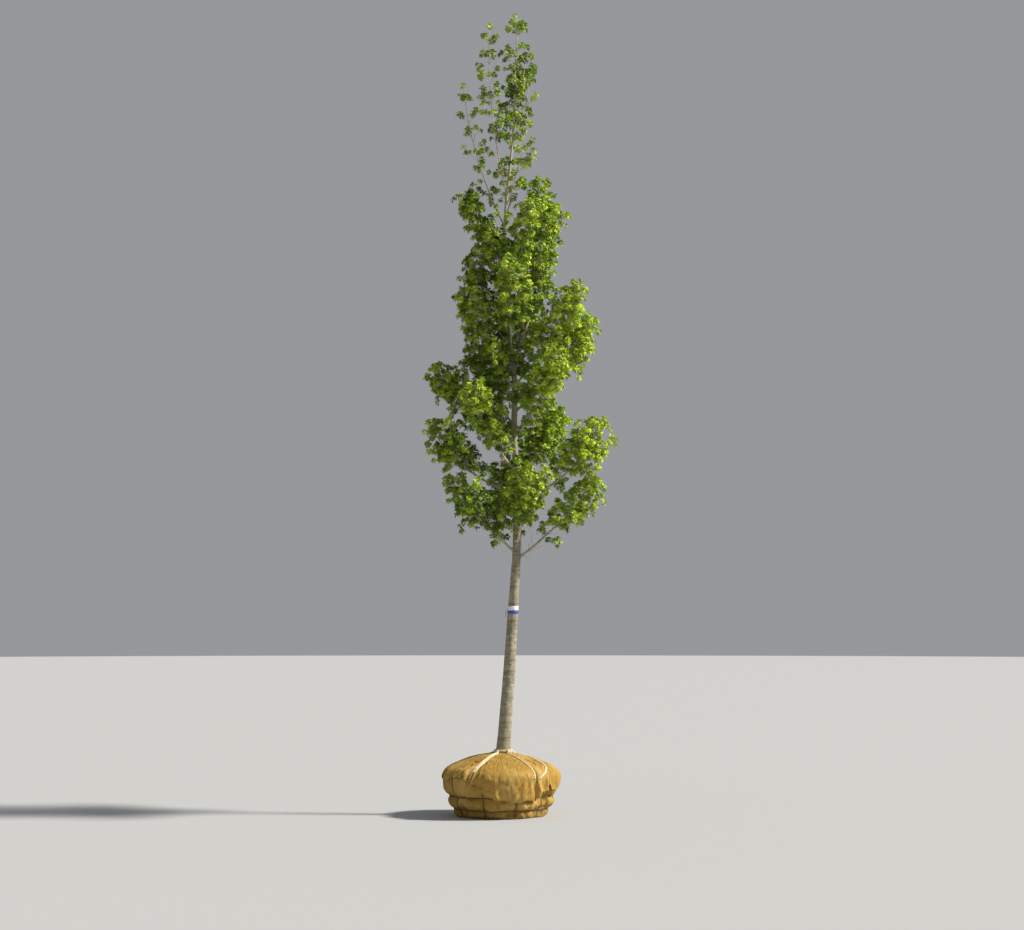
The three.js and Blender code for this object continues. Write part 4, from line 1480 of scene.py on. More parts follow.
def smooth_spread(coarse, rows, columns):
    """Values of a coarse grid brought onto a finer one that closes on itself sideways."""
    places = np.linspace(0, coarse.shape[0] - 1, rows)
    low = np.minimum(places.astype(int), coarse.shape[0] - 2)
    share = (places - low)[:, None, None]
    tall = coarse[low] * (1 - share) + coarse[low + 1] * share
    places = np.arange(columns) * coarse.shape[1] / columns
    low = places.astype(int)
    share = (places - low)[None, :, None]
    wide = tall[:, low] * (1 - share) + tall[:, (low + 1) % coarse.shape[1]] * share
    for _ in range(2):
        wide = 0.5 * wide + 0.25 * (np.roll(wide, 1, axis=1) + np.roll(wide, -1, axis=1))
        wide[1:-1] = 0.5 * wide[1:-1] + 0.25 * (wide[:-2] + wide[2:])
    return wide


def add_collider(grid):
    """A body just inside a grid of points, for a cloth to lie on."""
    inward = grid - grid.mean(axis=(0, 1))
    inward /= np.linalg.norm(inward, axis=2, keepdims=True)
    points = (grid - inward * CORE_DEPTH).reshape(-1, 3)
    mesh = outward_mesh("cloth_core", points, ring_faces(*grid.shape[:2]))
    collider = make_object("cloth_core", mesh)
    collider.modifiers.new("Collision", "COLLISION")
    collider.collision.thickness_outer = CLOTH_REST_DISTANCE
    collider.collision.cloth_friction = CLOTH_FRICTION
    return collider


def settle_cloth(cloth, grid, held, core):
    """How far each point of a sheet moves when it has extra cloth, hangs and swells between its ties."""
    mesh = mesh_of("cloth_sheet", grid.reshape(-1, 3), ring_faces(*grid.shape[:2]))
    sheet = make_object("cloth_sheet", mesh)
    group = sheet.vertex_groups.new(name="held")
    for index, weight in enumerate(held.ravel()):
        group.add([index], float(weight), "REPLACE")
    modifier = sheet.modifiers.new("Cloth", "CLOTH")
    for name, value in CLOTH_SETTINGS.items():
        setattr(modifier.settings, name, value)
    modifier.settings.vertex_group_mass = "held"
    modifier.settings.shrink_min = -cloth.extra
    modifier.settings.use_pressure = cloth.pressure > 0
    modifier.settings.uniform_pressure_force = cloth.pressure
    modifier.collision_settings.use_collision = cloth.on_ball
    modifier.collision_settings.distance_min = CLOTH_REST_DISTANCE
    helpers = [sheet]
    if cloth.on_ball:
        helpers.append(add_collider(core))
    scene = bpy.context.scene
    for number in range(1, cloth.frames + 1):
        scene.frame_set(number)
    settled = sheet.evaluated_get(bpy.context.evaluated_depsgraph_get()).to_mesh()
    moved = values_of(settled.vertices, "co", 3, float).reshape(grid.shape) - grid
    for helper in helpers:
        drop_object(helper)
    scene.frame_set(1)
    far = np.linalg.norm(moved, axis=2, keepdims=True)
    return moved * np.minimum(1.0, cloth.furthest / (far + 1e-9))


def draped(cloth, cells, routes):
    """Outer side of a cloth, and its painted shade where it is creased or pinched, both as grids.

    A cell has its plain place, its outward direction, its fold, and how much the other cloth holds it.
    """
    shape = (cloth.rows + 1, cloth.columns)
    plain, outward, folds, covered = (np.array(values).reshape(*shape, -1) for values in zip(*cells))
    pressed = pressed_by(routes, plain.reshape(-1, 3), cloth.pinch).reshape(*shape, 1)
    folds = folds * (1 - pressed) + cloth.stand * pressed
    # Painted shade: darker where the cloth folds in and where ropes or wires pinch it
    creases = cloth.fold_share * np.clip((cloth.crease_fold - folds) / CREASE_DEPTH, 0.0, 1.0)
    outer = plain + outward * folds
    coarse = (slice(None, None, cloth.row_step), slice(None, None, cloth.column_step))
    held = np.maximum(pressed, covered)
    held[:cloth.fixed_rows] = 1.0
    moved = settle_cloth(cloth, outer[coarse], held[coarse], plain[coarse])
    outer = outer + smooth_spread(moved, *shape) * (1 - pressed)
    return outer, np.clip(creases + cloth.pinch_share * pressed, 0.0, 1.0)[..., 0]


def cloth_mesh(name, points, faces, creases):
    """A closed mesh of cloth, with the painted shade of its creases and a flat layout of it in metres."""
    mesh = outward_mesh(name, points, faces)
    add_attribute(mesh, "crease", "FLOAT", creases)
    easts, norths, heights = values_of(mesh.vertices, "co", 3, float).reshape(-1, 3).T
    corners = values_of(mesh.loops, "vertex_index")
    starts = values_of(mesh.polygons, "loop_start")
    totals = values_of(mesh.polygons, "loop_total")
    round_it = np.arctan2(norths, easts) * RIM_RADIUS
    along = heights + RIM_RADIUS - np.hypot(easts, norths)
    flat = np.stack([round_it[corners], along[corners]], axis=1)
    lap = FULL_TURN * RIM_RADIUS
    highest = np.repeat(np.maximum.reduceat(flat[:, 0], starts), totals)
    flat[:, 0] += np.where(highest - flat[:, 0] > lap / 2, lap, 0.0)
    mesh.uv_layers.new(name="cloth").data.foreach_set("uv", flat.ravel())
    return mesh


def inner_side(grid):
    """Points of a cloth's inner side, below its outer one."""
    across = np.roll(grid, -1, axis=1) - np.roll(grid, 1, axis=1)
    normals = np.cross(across, np.gradient(grid, axis=0))
    normals /= np.linalg.norm(normals, axis=2, keepdims=True) + 1e-12
    inward = ((grid - BALL_MIDDLE) * normals).sum(axis=2, keepdims=True) < 0
    return grid - np.where(inward, -1.0, 1.0) * normals * CLOTH_THICKNESS


def flap_mesh(rope_radius):
    """The flap: from the trunk's foot over the dome and the rim to its free edge."""
    profile = BallProfile()
    neck_run = profile.length_at_radius(FLAP_NECK_RADIUS)
    angles = turns(FLAP.columns)
    end_runs = [profile.length_at(flap_end(angle)) for angle in angles]
    trunk_foot = trunk_at(COLLAR_LOW)[0]
    trunk_foot.z = 0.0
    cells = []
    for i in range(FLAP.rows + 1):
        share = i / FLAP.rows
        for angle, end_run in zip(angles, end_runs):
            radius, height, out, rise = profile.at(neck_run + (end_run - neck_run) * share)
            centred = smooth_step(*FLAP_CENTRING, radius)
            reach = radius * (1 + (swell(angle) - 1) * (1 - centred))
            lift = FLAP_NECK_RISE * math.exp(-(radius - FLAP_NECK_RADIUS) / FLAP_NECK_FADE)
            place = trunk_foot * centred + around(angle) * reach + UP * (height + lift)
            outward = around(angle) * out + UP * rise
            cells.append((place, outward, flap_fold(angle, radius, height, share), 0.0))
    ropes = [strand_route(foot, rim, rope_radius) for foot, rim in STRANDS]
    outer, creases = draped(FLAP, cells, ropes)
    points = np.concatenate([outer, inner_side(outer)[::-1]]).reshape(-1, 3)
    faces = looped_faces(2 * len(outer), FLAP.columns)
    return cloth_mesh("burlap_flap", points, faces, np.concatenate([creases, creases[::-1]]).ravel())


def wrap_mesh(wire_radius):
    """The burlap round the ball: pinched at the wires, hanging in folds between them."""
    profile = BallProfile()
    angles = turns(WRAP.columns)
    edges = [flap_end(angle) for angle in angles]
    cells = []
    for i in range(WRAP.rows + 1):
        radius, height, out, rise = profile.at(profile.lengths[-1] * i / WRAP.rows)
        free = smooth_step(*WRAP_FREE, height)
        for angle, edge in zip(angles, edges):
            under = smooth_step(*WRAP_COVERED, height - edge)
            level = around(angle) * out
            fold = wrap_fold(angle, height) * free * (1 - under) - WRAP_UNDER_FLAP * under
            place = around(angle) * (radius * swell(angle)) + UP * height
            cells.append((place, (level.x, level.y, rise * free), fold, under))
    outer, creases = draped(WRAP, cells, wire_routes(wire_radius))
    outer[..., 2] = np.maximum(outer[..., 2], 0.0)
    outer[0, :, 2] = 0.0

    middles = [[0.0, 0.0, 0.0], [0.0, 0.0, BALL_TOP - WRAP_UNDER_FLAP]]
    faces = ring_faces(*creases.shape)
    last_row = WRAP.columns * WRAP.rows
    for k in range(WRAP.columns):
        beside = (k + 1) % WRAP.columns
        faces += [(creases.size, beside, k), (creases.size + 1, last_row + k, last_row + beside)]
    points = np.concatenate([outer.reshape(-1, 3), middles])
    return cloth_mesh("burlap_wrap", points, faces, [*creases.ravel(), 0.0, 0.0])


# Marking tapes

TAPES = (("tape_blue", 1.492, 1.512), ("tape_white", 1.514, 1.546))
TAPE_SIDES = 72
TAPE_ROWS = 5
TAPE_THICKNESS = 0.0007
TAPE_GAP = 0.0014
TAPE_UNEVENNESS = 0.0016
TAPE_EDGE_GRAIN = 2
TAPE_RIPPLE = 0.0006
TAPE_RIPPLE_GRAIN = (5, 90)
# Loose end of the upper tape: how far it stands off, sways and twists on its way down
TAIL_ANGLE = 186
TAIL_LENGTH = 0.062
TAIL_WIDTH = 0.019
TAIL_STEPS = 16
TAIL_GAP = 0.0015
TAIL_STAND = 0.021
TAIL_STAND_TURN = 2.1
TAIL_SWAY = 0.007
TAIL_SWAY_TURN = 5.0
TAIL_FIRST_TURN = 0.25
TAIL_TWIST = 1.1
RIBBON_CORNERS = ((-1, 1), (1, 1), (1, -1), (-1, -1))


def tape_tail(height):
    """The loose end of the tape, a thin ribbon that stands off the trunk and hangs down."""
    middle, radius = trunk_at(height)
    outward = around(math.radians(TAIL_ANGLE))
    left = leftward(outward)
    points = []
    for share in np.linspace(0.0, 1.0, TAIL_STEPS + 1):
        stand = radius + TAIL_GAP + TAIL_STAND * math.sin(TAIL_STAND_TURN * share)
        sway = TAIL_SWAY * math.sin(TAIL_SWAY_TURN * share)
        place = middle + outward * stand + left * sway - UP * (TAIL_LENGTH * share)
        turn = TAIL_FIRST_TURN + TAIL_TWIST * share
        across = (left * math.cos(turn) + outward * math.sin(turn)) * (TAIL_WIDTH / 2)
        through = (outward * math.cos(turn) - left * math.sin(turn)) * (TAPE_THICKNESS / 2)
        points += [place + across * wide + through * deep for wide, deep in RIBBON_CORNERS]
    return points


def tape_mesh(name, low, high, tail):
    """A band of thin tape drawn round the trunk, a little uneven at its edges."""
    shares = list(np.linspace(0.0, 1.0, TAPE_ROWS))
    outer = [(share, TAPE_THICKNESS) for share in shares]
    inner = [(share, 0.0) for share in reversed(shares)]
    round_it, along = TAPE_RIPPLE_GRAIN
    points = []
    for share, thick in outer + inner:
        for out in map(around, turns(TAPE_SIDES)):
            place = out * TAPE_EDGE_GRAIN + UP * (share * TAPE_EDGE_GRAIN + low)
            height = low + (high - low) * share + TAPE_UNEVENNESS * noise.noise(place)
            middle, radius = trunk_at(height)
            ripple = TAPE_RIPPLE * noise.noise(out * round_it + UP * (height * along))
            points.append(middle + out * (radius + TAPE_GAP + ripple + thick))
    faces = looped_faces(2 * TAPE_ROWS, TAPE_SIDES)
    if tail:
        faces += capped_tube_faces(TAIL_STEPS + 1, 4, len(points))
        points += tape_tail((low + high) / 2)
    return outward_mesh(name, points, faces)


# Leaf sprays

# Outline of half a leaf: angle from the tip in degrees, and reach from the joint as a share of the length
LEAF_LOBES = ((17, 0.50), (46, 0.90), (68, 0.42), (100, 0.60), (150, 0.20))
BLADE_LENGTH = 0.029
BLADE_WIDTH = 1.08
# How a blade is pleated at the tips and the notches of its lobes, bends down, and folds at its middle
BLADE_PLEATS = (0.03, -0.05)
BLADE_DROOP = 0.28
BLADE_DROOP_SPREAD = 0.1
BLADE_FOLD = (-0.35, 0.15)
BLADE_ROLL_SPREAD = 0.35
BLADE_SWING_SPREAD = 0.3
STALK_WIDTH = 0.0014
STALK_TAPER = 0.8

# A spray's leaves, in crossed pairs, the oldest first. Rises and pitches are in degrees
SPRAY_SHAPES = 8
SPRAY_LEAVES = (7, 8, 9)
SPRAY_SEED = 9001
SPRAY_SEED_STEP = 173
PAIR_TURN = 1.57
PAIR_TURN_SPREAD = 0.35
AGE_STEP = 0.09
# A pair's rise and pitch: the oldest pair's, the step to the next pair, and the spread
PAIR_RISE = (-6, 25, 12)
PAIR_PITCH = (-42, 33, 18)
STALK_LENGTH = 0.016
STALK_SHARES = (0.75, 1.2)
BLADE_SHARES = (0.85, 1.12)

# The unfolding leaves at the middle of a part of the sprays
HEART_LEAVES = 3
HEART_SEED = 7001
HEART_SEED_STEP = 211
HEART_TURN = 2.1
HEART_TURN_SPREAD = 0.4
HEART_RISE = (50, 0, 18)
HEART_PITCH = (35, 0, 30)
HEART_STALK_LENGTH = 0.008
HEART_SHARES = (0.32, 0.5)
HEARTS_SHARE = 0.5

SPIN_SEED = 5003
# Factors that draw further chances from a spray's own one
SHAPE_SHUFFLE = 7919
HEART_SHUFFLE = 31

# Plain leaf colours that carry painted sunlight and painted shade, and the light that a spray needs for
# each:
# light grows away from the trunk, towards the sunny side, upwards and by chance. Only the chance part is
# the leaves' own variety of tone; the rest is painted light.
TINTS = (("sunny", 0.95), ("fresh", 0.62), ("green", 0.36), ("shaded", -math.inf))
LIGHT_OUTWARD = 0.9
LIGHT_SUNWARD = 0.35
LIGHT_UPWARD = 0.07
LIGHT_MIDDLE_HEIGHT = 3.5
LIGHT_CHANCE = 0.75


def leaf_points(length, droop, fold):
    """A five-lobed leaf in its own frame: the tip along +Y, the upper side along +Z."""
    half = [(0.0, 1.0)]
    for degrees, reach in LEAF_LOBES:
        half.append((reach * math.sin(math.radians(degrees)), reach * math.cos(math.radians(degrees))))
    whole = [(-x, y) for x, y in reversed(half[1:])] + half
    points = [Vector((0.0, 0.0, 0.0))]
    for i, (x, y) in enumerate(whole):
        reach = math.hypot(x, y)
        lift = fold * abs(x) - droop * reach**2 + BLADE_PLEATS[i % 2] * reach
        points.append(Vector((x * BLADE_WIDTH, y, lift)) * length)
    return points, [(0, i + 1, i) for i in range(1, len(whole))]


def add_leaf(shape, azimuth, rise, stalk, length, pitch, random):
    """A stalk that leaves the shoot's tip and a blade that hangs from its end."""
    points, faces = shape
    out = heading(azimuth, rise)
    end = out * stalk
    side = leftward(around(azimuth))
    side.rotate(Quaternion(out, random.spread(BLADE_ROLL_SPREAD)))
    tipward = heading(azimuth + random.spread(BLADE_SWING_SPREAD), pitch)
    side = (side - tipward * side.dot(tipward)).normalized()
    upper = tipward.cross(side)
    droop = BLADE_DROOP + random.spread(BLADE_DROOP_SPREAD)
    blade, blade_faces = leaf_points(length, droop, random.between(*BLADE_FOLD))
    faces += [tuple(len(points) + k for k in face) for face in blade_faces]
    points += [end + side * point.x + tipward * point.y + upper * point.z for point in blade]
    faces.append(tuple(range(len(points), len(points) + 4)))
    half = side * (STALK_WIDTH / 2)
    points += [-half, half, end + half * STALK_TAPER, end - half * STALK_TAPER]


def pair_angle(pair, oldest, step, spread, random):
    """A rise or pitch of a leaf, by its pair and by chance."""
    return math.radians(oldest + step * pair + random.spread(spread))


def spray_mesh(number):
    """Young leaves in crossed pairs at a shoot's tip: the oldest outside hang, the youngest stand."""
    random = Seeded(SPRAY_SEED + SPRAY_SEED_STEP * number)
    # The first numbers of neighbouring seeds are much alike, so they are left out
    random.draw()
    shape = ([], [])
    for k in range(SPRAY_LEAVES[number % len(SPRAY_LEAVES)]):
        pair = k // 2
        age = 1 - pair * AGE_STEP
        azimuth = pair * PAIR_TURN + (k % 2) * math.pi + random.spread(PAIR_TURN_SPREAD)
        rise = pair_angle(pair, *PAIR_RISE, random)
        stalk = STALK_LENGTH * age * random.between(*STALK_SHARES)
        length = BLADE_LENGTH * age * random.between(*BLADE_SHARES)
        pitch = pair_angle(pair, *PAIR_PITCH, random)
        add_leaf(shape, azimuth, rise, stalk, length, pitch, random)
    return mesh_of(f"spray_{number}", *shape, smooth=False)


def heart_mesh(number):
    """The unfolding leaves and bud scales at the middle of a spray."""
    random = Seeded(HEART_SEED + HEART_SEED_STEP * number)
    # As in the sprays, the first number is left out
    random.draw()
    shape = ([], [])
    for k in range(HEART_LEAVES):
        azimuth = k * HEART_TURN + random.spread(HEART_TURN_SPREAD)
        rise = pair_angle(0, *HEART_RISE, random)
        length = BLADE_LENGTH * random.between(*HEART_SHARES)
        pitch = pair_angle(0, *HEART_PITCH, random)
        add_leaf(shape, azimuth, rise, HEART_STALK_LENGTH, length, pitch, random)
    return mesh_of(f"heart_{number}", *shape, smooth=False)


def shape_collection(name, meshes):
    """A collection of shapes for a node tree to pick from, kept out of the scene."""
    shapes = bpy.data.collections.new(name)
    for mesh in meshes:
        shapes.objects.link(bpy.data.objects.new(mesh.name, mesh))
    return shapes


def drop_collection(shapes):
    for shape in list(shapes.objects):
        drop_object(shape)
    bpy.data.collections.remove(shapes)


def spray_cloud(sprays):
    """Points that carry each spray's axis, size, spin and shape."""
    random = Seeded(SPIN_SEED)
    mesh = bpy.data.meshes.new("sprays")
    mesh.from_pydata([tuple(spray.point) for spray in sprays], [], [])
    shapes = [int(spray.chance * SHAPE_SHUFFLE) % SPRAY_SHAPES for spray in sprays]
    add_attribute(mesh, "axis", "FLOAT_VECTOR", [part for spray in sprays for part in spray.axis])
    add_attribute(mesh, "size", "FLOAT", [spray.size for spray in sprays])
    add_attribute(mesh, "spin", "FLOAT", [random.draw() * FULL_TURN for _ in sprays])
    add_attribute(mesh, "shape", "INT", shapes)
    return mesh


def tint_of(spray):
    """Which plain leaf colour a spray gets, by its painted light: lighter away from the trunk, on the sunny
    side and high up, with some chance.
    """
    middle, _ = trunk_at(min(spray.point.z, TRUNK_TOP))
    offset = spray.point - middle
    light = LIGHT_OUTWARD * math.hypot(offset.x, offset.y) + LIGHT_SUNWARD * offset.x
    light += LIGHT_UPWARD * (spray.point.z - LIGHT_MIDDLE_HEIGHT) + LIGHT_CHANCE * spray.chance
    return next(tint for tint, least in TINTS if light > least)


def add_leaves(tree, shapes, name, sprays, finish):
    """A piece of leaves for each zone of the crown with such sprays."""
    for zone in ZONE_NAMES:
        chosen = [spray for spray in sprays if spray.zone == zone]
        if chosen:
            mesh = tree.bake(f"{name}_{zone}", spray_cloud(chosen), finish, Sprays=shapes)
            add_piece(mesh, foliage_nodes(zone))


# Settings

def color_property(label, part, default):
    text = "Colour of " + part
    return bpy.props.FloatVectorProperty(
        name=label, description=text, subtype="COLOR", size=3, min=0.0, max=1.0, default=default
    )


def number_property(label, text, default, unit="NONE"):
    return bpy.props.FloatProperty(name=label, description=text, unit=unit, min=0.0, default=default)


def length_property(label, text, default):
    return number_property(label, text, default, "LENGTH")


class BallSettings(bpy.types.PropertyGroup):
    cloth_color: color_property("Burlap", "the clean cloth", (0.47, 0.285, 0.062))
    # The stain colour, darkened, is also the painted shade in the cloth's creases and under the ropes and
    # wires
    cloth_stain_and_shade: color_property("Burlap stains", "soil stains and damp cloth", (0.16, 0.085, 0.022))
    cloth_pale: color_property("Burlap bleached", "cloth bleached by the sun", (0.60, 0.41, 0.125))
    wire_radius: length_property("Wire radius", "Radius of the basket's wire", 0.0019)
    wire_color: color_property("Wire", "the basket's wire", (0.085, 0.065, 0.045))
    wire_rust: color_property("Rust", "rust spots on the wire", (0.17, 0.075, 0.03))
    rope_radius: length_property("Rope radius", "Radius of the sisal rope", 0.0086)
    rope_lay: length_property("Rope lay", "Length of one full turn of the rope's strands", 0.050)
    rope_color: color_property("Rope", "the rope's fibres", (0.84, 0.73, 0.51))
    rope_dark: color_property("Rope dirt", "dirt in the rope's grooves", (0.50, 0.37, 0.20))


class WoodSettings(bpy.types.PropertyGroup):
    relief: length_property("Bark relief", "Height of the lumps of the bark", 0.0016)
    bark_color: color_property("Bark", "the trunk's bark", (0.272, 0.244, 0.166))
    bark_dark: color_property("Bark bands", "the bark's darker bands", (0.132, 0.113, 0.073))
    # The pale colour also paints the sunlight that makes the bark paler higher up
    bark_pale_and_sunlit: color_property("Bark patches", "pale patches and pores", (0.50, 0.455, 0.335))
    tape_white: color_property("White tape", "the upper marking tape", (0.80, 0.82, 0.86))
    tape_blue: color_property("Blue tape", "the lower marking tape", (0.035, 0.075, 0.42))


class CrownSettings(bpy.types.PropertyGroup):
    pair_spacing: length_property("Twig spacing", "Distance between pairs of twigs on a stem", 0.086)
    shoot_spacing: length_property("Shoot spacing", "Distance between pairs of shoots on a twig", 0.058)
    # The twigs' colour is partly their bark's own and partly painted sunlight: made a little lighter, so
    # that they read as pale lines among the leaves
    twig_color: color_property("Twigs", "the twigs", (0.56, 0.46, 0.36))
    # Leaf colours from painted sunlight (sunny) to painted shade (shaded), dealt out to sprays by tint_of
    sunny: color_property("Sunny leaves", "the outermost leaves", (0.45, 0.59, 0.044))
    fresh: color_property("Fresh leaves", "half the leaves", (0.315, 0.445, 0.030))
    green: color_property("Green leaves", "leaves further in", (0.185, 0.292, 0.021))
    shaded: color_property("Inner leaves", "the innermost leaves", (0.090, 0.158, 0.013))
    heart: color_property("Unfolding leaves", "the youngest leaves", (0.40, 0.20, 0.040))


class StageSettings(bpy.types.PropertyGroup):
    floor_color: color_property("Floor", "the studio floor", (0.43, 0.435, 0.44))
    sky_color: color_property("Backdrop", "the light all round", (0.92, 0.95, 1.0))
    key_strength: number_property("Key light", "Strength of the key light", 6.2)
    fill_strength: number_property("Fill light", "Strength of the fill", 0.33)
    lens: number_property("Lens", "Focal length of the camera", 76.5, "CAMERA")


# Operators: one for each piece or group of like pieces

WIRE_SIDES = 8
TWIG_SIDES = 5
ROPE_STEP = 0.003
# The boughs' bark is lighter than the trunk's: painted sunlight, so that they read as sunlit pale lines
# among the leaves
BOUGH_PAINTED_SUNLIGHT = 1.75
LEAF_ROUGHNESS = 0.55
LEAF_SPECULAR = 0.2


class PieceOperator:
    """What all operators here share."""

    bl_options = {"REGISTER", "UNDO"}


class MAPLE_OT_root_ball(PieceOperator, bpy.types.Operator):
    """Builds the burlap round the root ball and the flap laced down over its rim"""

    bl_idname = "maple.root_ball"
    bl_label = "Root ball"

    def execute(self, context):
        settings = context.scene.maple_ball
        cloth = cloth_finish(settings.cloth_color, settings.cloth_stain_and_shade, settings.cloth_pale)
        add_piece(wrap_mesh(settings.wire_radius), ["root_ball"], cloth)
        add_piece(flap_mesh(settings.rope_radius), ["root_ball"], cloth)
        return {"FINISHED"}


class MAPLE_OT_basket(PieceOperator, bpy.types.Operator):
    """Builds the wire basket round the ball"""

    bl_idname = "maple.basket"
    bl_label = "Wire basket"

    def execute(self, context):
        settings = context.scene.maple_ball
        steel = wire_finish(settings.wire_color, settings.wire_rust)
        routes = wire_routes(settings.wire_radius)
        routes += [hook_route(foot, rim, settings.rope_radius) for foot, rim in STRANDS]
        chains = chain_mesh([(route, settings.wire_radius) for route in routes])
        mesh = tube_tree().bake("wire_basket_wires", chains, steel, Sides=WIRE_SIDES)
        add_piece(mesh, ["wire_basket"])
        return {"FINISHED"}


class MAPLE_OT_ropes(PieceOperator, bpy.types.Operator):
    """Builds the rope round the trunk's foot and its strands down to the rim"""

    bl_idname = "maple.ropes"
    bl_label = "Ropes"

    def execute(self, context):
        settings = context.scene.maple_ball
        sisal = rope_finish(settings.rope_color, settings.rope_dark)
        radius = settings.rope_radius
        routes = [tied_strand(foot, rim, radius) for foot, rim in STRANDS]
        routes += [doubled_strand(radius), collar_route(radius), knot_route(radius)]
        chains = chain_mesh([(route, radius) for route in routes])
        values = {"Rope_radius": radius, "Lay_length": settings.rope_lay, "Step": ROPE_STEP}
        mesh = rope_tree().bake("sisal_ropes", chains, sisal, **values)
        add_piece(mesh, [name for name in frame["nodes"] if name.startswith("rope_")])
        return {"FINISHED"}


class MAPLE_OT_trunk(PieceOperator, bpy.types.Operator):
    """Builds the trunk with the relief of its bark"""

    bl_idname = "maple.trunk"
    bl_label = "Trunk"

    def execute(self, context):
        settings = context.scene.maple_wood
        colors = (settings.bark_color, settings.bark_dark, settings.bark_pale_and_sunlit)
        bark = bark_finish("trunk_bark", *colors, *TRUNK_BARK_SCALES)
        add_piece(trunk_mesh(settings.relief), ["trunk"], bark)
        return {"FINISHED"}


class MAPLE_OT_boughs(PieceOperator, bpy.types.Operator):
    """Builds the boughs and the upper stems with the relief of their bark"""

    bl_idname = "maple.boughs"
    bl_label = "Boughs"

    def execute(self, context):
        settings = context.scene.maple_wood
        # Painted sunlight: the trunk's bark colour made lighter for the boughs and upper stems
        sunlit_bark_color = [BOUGH_PAINTED_SUNLIGHT * part for part in settings.bark_color]
        colors = (sunlit_bark_color, settings.bark_dark, settings.bark_pale_and_sunlit)
        bark = bark_finish("bough_bark", *colors, *BOUGH_BARK_SCALES)
        numbered = list(enumerate(STEMS, start=1))
        boughs = [(number, limb) for number, limb in numbered if limb.bare]
        stems = [(number, limb) for number, limb in numbered if not limb.bare]
        bough_nodes = [f"bough_{number:02d}" for number, _ in boughs]
        stem_nodes = [f"foliage_{number:02d}" for number, limb in stems if limb is not LEADER]
        stem_nodes.append("foliage_leader")
        add_piece(boughs_mesh("boughs", boughs, settings.relief), bough_nodes, bark)
        add_piece(boughs_mesh("upper_stems", stems, settings.relief), stem_nodes, bark)
        return {"FINISHED"}


class MAPLE_OT_tapes(PieceOperator, bpy.types.Operator):
    """Builds the two bands of marking tape round the trunk"""

    bl_idname = "maple.tapes"
    bl_label = "Marking tapes"

    def execute(self, context):
        settings = context.scene.maple_wood
        for node, low, high in TAPES:
            finish = tape_finish(node, getattr(settings, node))
            add_piece(tape_mesh(node + "_band", low, high, node == "tape_white"), [node], finish)
        return {"FINISHED"}


class MAPLE_OT_twigs(PieceOperator, bpy.types.Operator):
    """Builds the twigs and spurs of the crown"""

    bl_idname = "maple.twigs"
    bl_label = "Twigs"

    def execute(self, context):
        settings = context.scene.maple_crown
        twigs, _ = grown_crown(settings.pair_spacing, settings.shoot_spacing)
        bark = Finish("twig_bark", settings.twig_color, TWIG_ROUGHNESS, TWIG_SPECULAR).material
        tree = tube_tree()
        for zone in ZONE_NAMES:
            chains = chain_mesh([(twig.points, twig.radii) for twig in twigs if twig.zone == zone])
            mesh = tree.bake(f"twigs_{zone}", chains, bark, Sides=TWIG_SIDES)
            add_piece(mesh, foliage_nodes(zone))
        return {"FINISHED"}


class MAPLE_OT_leaves(PieceOperator, bpy.types.Operator):
    """Builds the leaf sprays, each in one of a few plain colours that carry painted sunlight and shade"""

    bl_idname = "maple.leaves"
    bl_label = "Leaves"

    def execute(self, context):
        settings = context.scene.maple_crown
        _, sprays = grown_crown(settings.pair_spacing, settings.shoot_spacing)
        tree = spray_tree()
        shapes = shape_collection("leaf_sprays", [spray_mesh(i) for i in range(SPRAY_SHAPES)])
        for tint, _ in TINTS:
            chosen = [spray for spray in sprays if tint_of(spray) == tint]
            finish = Finish(f"leaf_{tint}", getattr(settings, tint), LEAF_ROUGHNESS, LEAF_SPECULAR).material
            add_leaves(tree, shapes, f"leaves_{tint}", chosen, finish)
        drop_collection(shapes)
        hearts = shape_collection("spray_hearts", [heart_mesh(i) for i in range(SPRAY_SHAPES)])
        young = [spray for spray in sprays if spray.chance * HEART_SHUFFLE % 1 < HEARTS_SHARE]
        finish = Finish("leaf_heart", settings.heart, LEAF_ROUGHNESS, LEAF_SPECULAR).material
        add_leaves(tree, hearts, "young_leaves", young, finish)
        drop_collection(hearts)
        return {"FINISHED"}


# Stage

CAMERA_PLACE = Vector((0.088, -16.25, 1.50))
CAMERA_AIM = Vector((0.088, 0.0, 2.60))
CAMERA_RANGE = 200.0
# The key light's place, by compass angle and rise, and its width across the sky, in degrees
KEY_ANGLE = -5
KEY_RISE = 38
KEY_WIDTH = 8
KEY_COLOR = (1.0, 0.96, 0.88)
FLOOR_RADIUS = 60.0
FLOOR_SIDES = 96
FLOOR_ROUGHNESS = 0.9
FLOOR_SPECULAR = 0.2


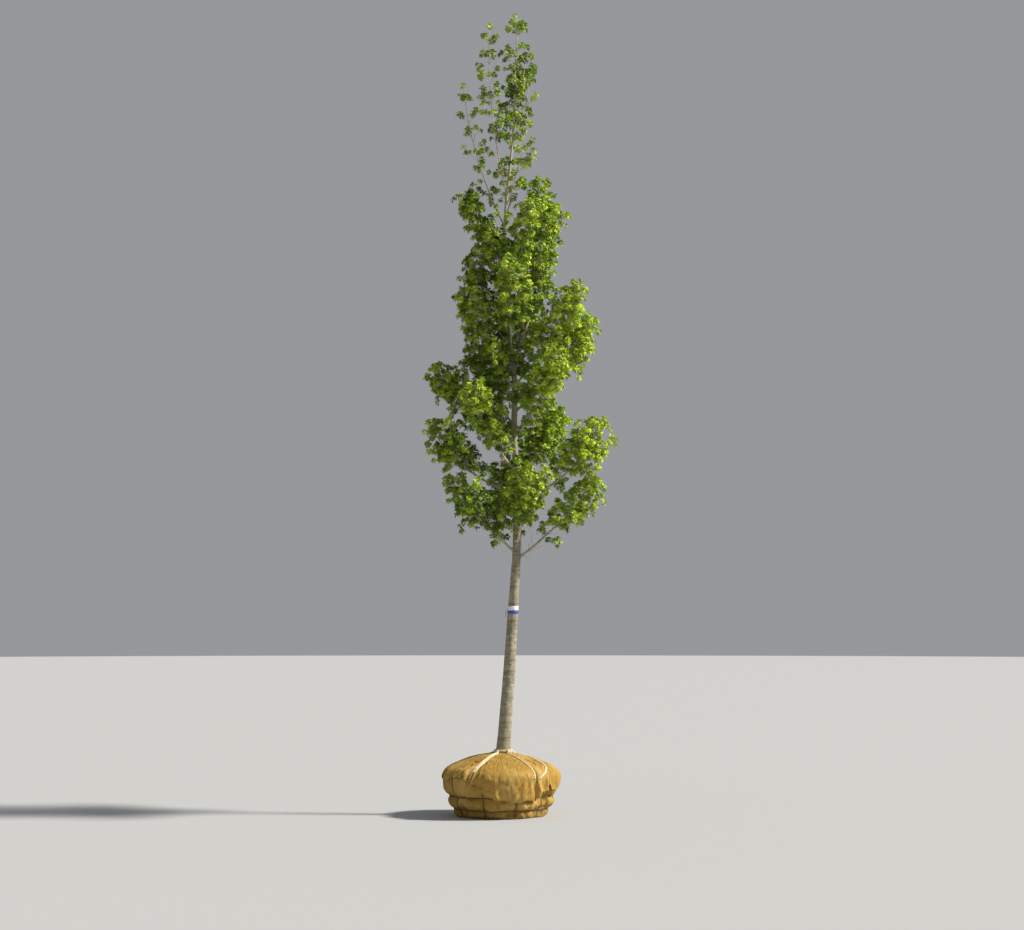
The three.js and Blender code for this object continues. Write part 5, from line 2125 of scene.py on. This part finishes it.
class MAPLE_OT_stage(PieceOperator, bpy.types.Operator):
    """Builds the pale floor, the soft lights and the camera"""

    bl_idname = "maple.stage"
    bl_label = "Stage"

    def execute(self, context):
        scene = context.scene
        settings = scene.maple_stage
        self.add_floor(settings.floor_color)
        self.add_lights(scene, settings)
        camera = bpy.data.objects.new("photo_camera", bpy.data.cameras.new("photo_camera"))
        camera.data.lens = settings.lens
        camera.data.clip_end = CAMERA_RANGE
        camera.location = CAMERA_PLACE
        camera.rotation_euler = (CAMERA_AIM - CAMERA_PLACE).to_track_quat("-Z", "Y").to_euler()
        scene.collection.objects.link(camera)
        scene.camera = camera
        scene.view_settings.view_transform = "Standard"
        return {"FINISHED"}

    def add_floor(self, color):
        points = [Vector((0.0, 0.0, 0.0))]
        points += [around(angle) * FLOOR_RADIUS for angle in turns(FLOOR_SIDES)]
        faces = [(0, 1 + k, 1 + (k + 1) % FLOOR_SIDES) for k in range(FLOOR_SIDES)]
        finish = Finish("studio_floor", color, FLOOR_ROUGHNESS, FLOOR_SPECULAR).material
        make_object("studio_floor", mesh_of("studio_floor", points, faces), finish)

    def add_lights(self, scene, settings):
        key = bpy.data.lights.new("key", "SUN")
        key.energy = settings.key_strength
        key.angle = math.radians(KEY_WIDTH)
        key.color = KEY_COLOR
        lamp = bpy.data.objects.new("key", key)
        light_way = -heading(math.radians(KEY_ANGLE), math.radians(KEY_RISE))
        lamp.rotation_euler = light_way.to_track_quat("-Z", "Y").to_euler()
        scene.collection.objects.link(lamp)
        world = bpy.data.worlds.new("studio")
        world.use_nodes = True
        backdrop = world.node_tree.nodes["Background"]
        backdrop.inputs["Color"].default_value = (*settings.sky_color, 1.0)
        backdrop.inputs["Strength"].default_value = settings.fill_strength
        scene.world = world


class MAPLE_PT_panel(bpy.types.Panel):
    """Lists the settings and the pieces"""

    bl_idname = "MAPLE_PT_panel"
    bl_label = "Maple on a root ball"
    bl_space_type = "VIEW_3D"
    bl_region_type = "UI"
    bl_category = "Maple"

    def draw(self, context):
        for operator in OPERATORS:
            self.layout.operator(operator.bl_idname)
        for name, group in SETTINGS.items():
            box = self.layout.box()
            for label in group.__annotations__:
                box.prop(getattr(context.scene, name), label)


SETTINGS = {
    "maple_ball": BallSettings,
    "maple_wood": WoodSettings,
    "maple_crown": CrownSettings,
    "maple_stage": StageSettings,
}
OPERATORS = (
    MAPLE_OT_stage,
    MAPLE_OT_root_ball,
    MAPLE_OT_basket,
    MAPLE_OT_ropes,
    MAPLE_OT_trunk,
    MAPLE_OT_boughs,
    MAPLE_OT_tapes,
    MAPLE_OT_twigs,
    MAPLE_OT_leaves,
)
CLASSES = (*SETTINGS.values(), *OPERATORS, MAPLE_PT_panel)


def register():
    for item in CLASSES:
        bpy.utils.register_class(item)
    for name, group in SETTINGS.items():
        setattr(bpy.types.Scene, name, bpy.props.PointerProperty(type=group))


def unregister():
    for name in SETTINGS:
        delattr(bpy.types.Scene, name)
    for item in reversed(CLASSES):
        bpy.utils.unregister_class(item)


def main():
    register()
    bpy.ops.maple.stage()
    bpy.ops.maple.root_ball()
    bpy.ops.maple.basket()
    bpy.ops.maple.ropes()
    bpy.ops.maple.trunk()
    bpy.ops.maple.boughs()
    bpy.ops.maple.tapes()
    bpy.ops.maple.twigs()
    bpy.ops.maple.leaves()


if __name__ == "__main__":
    main()
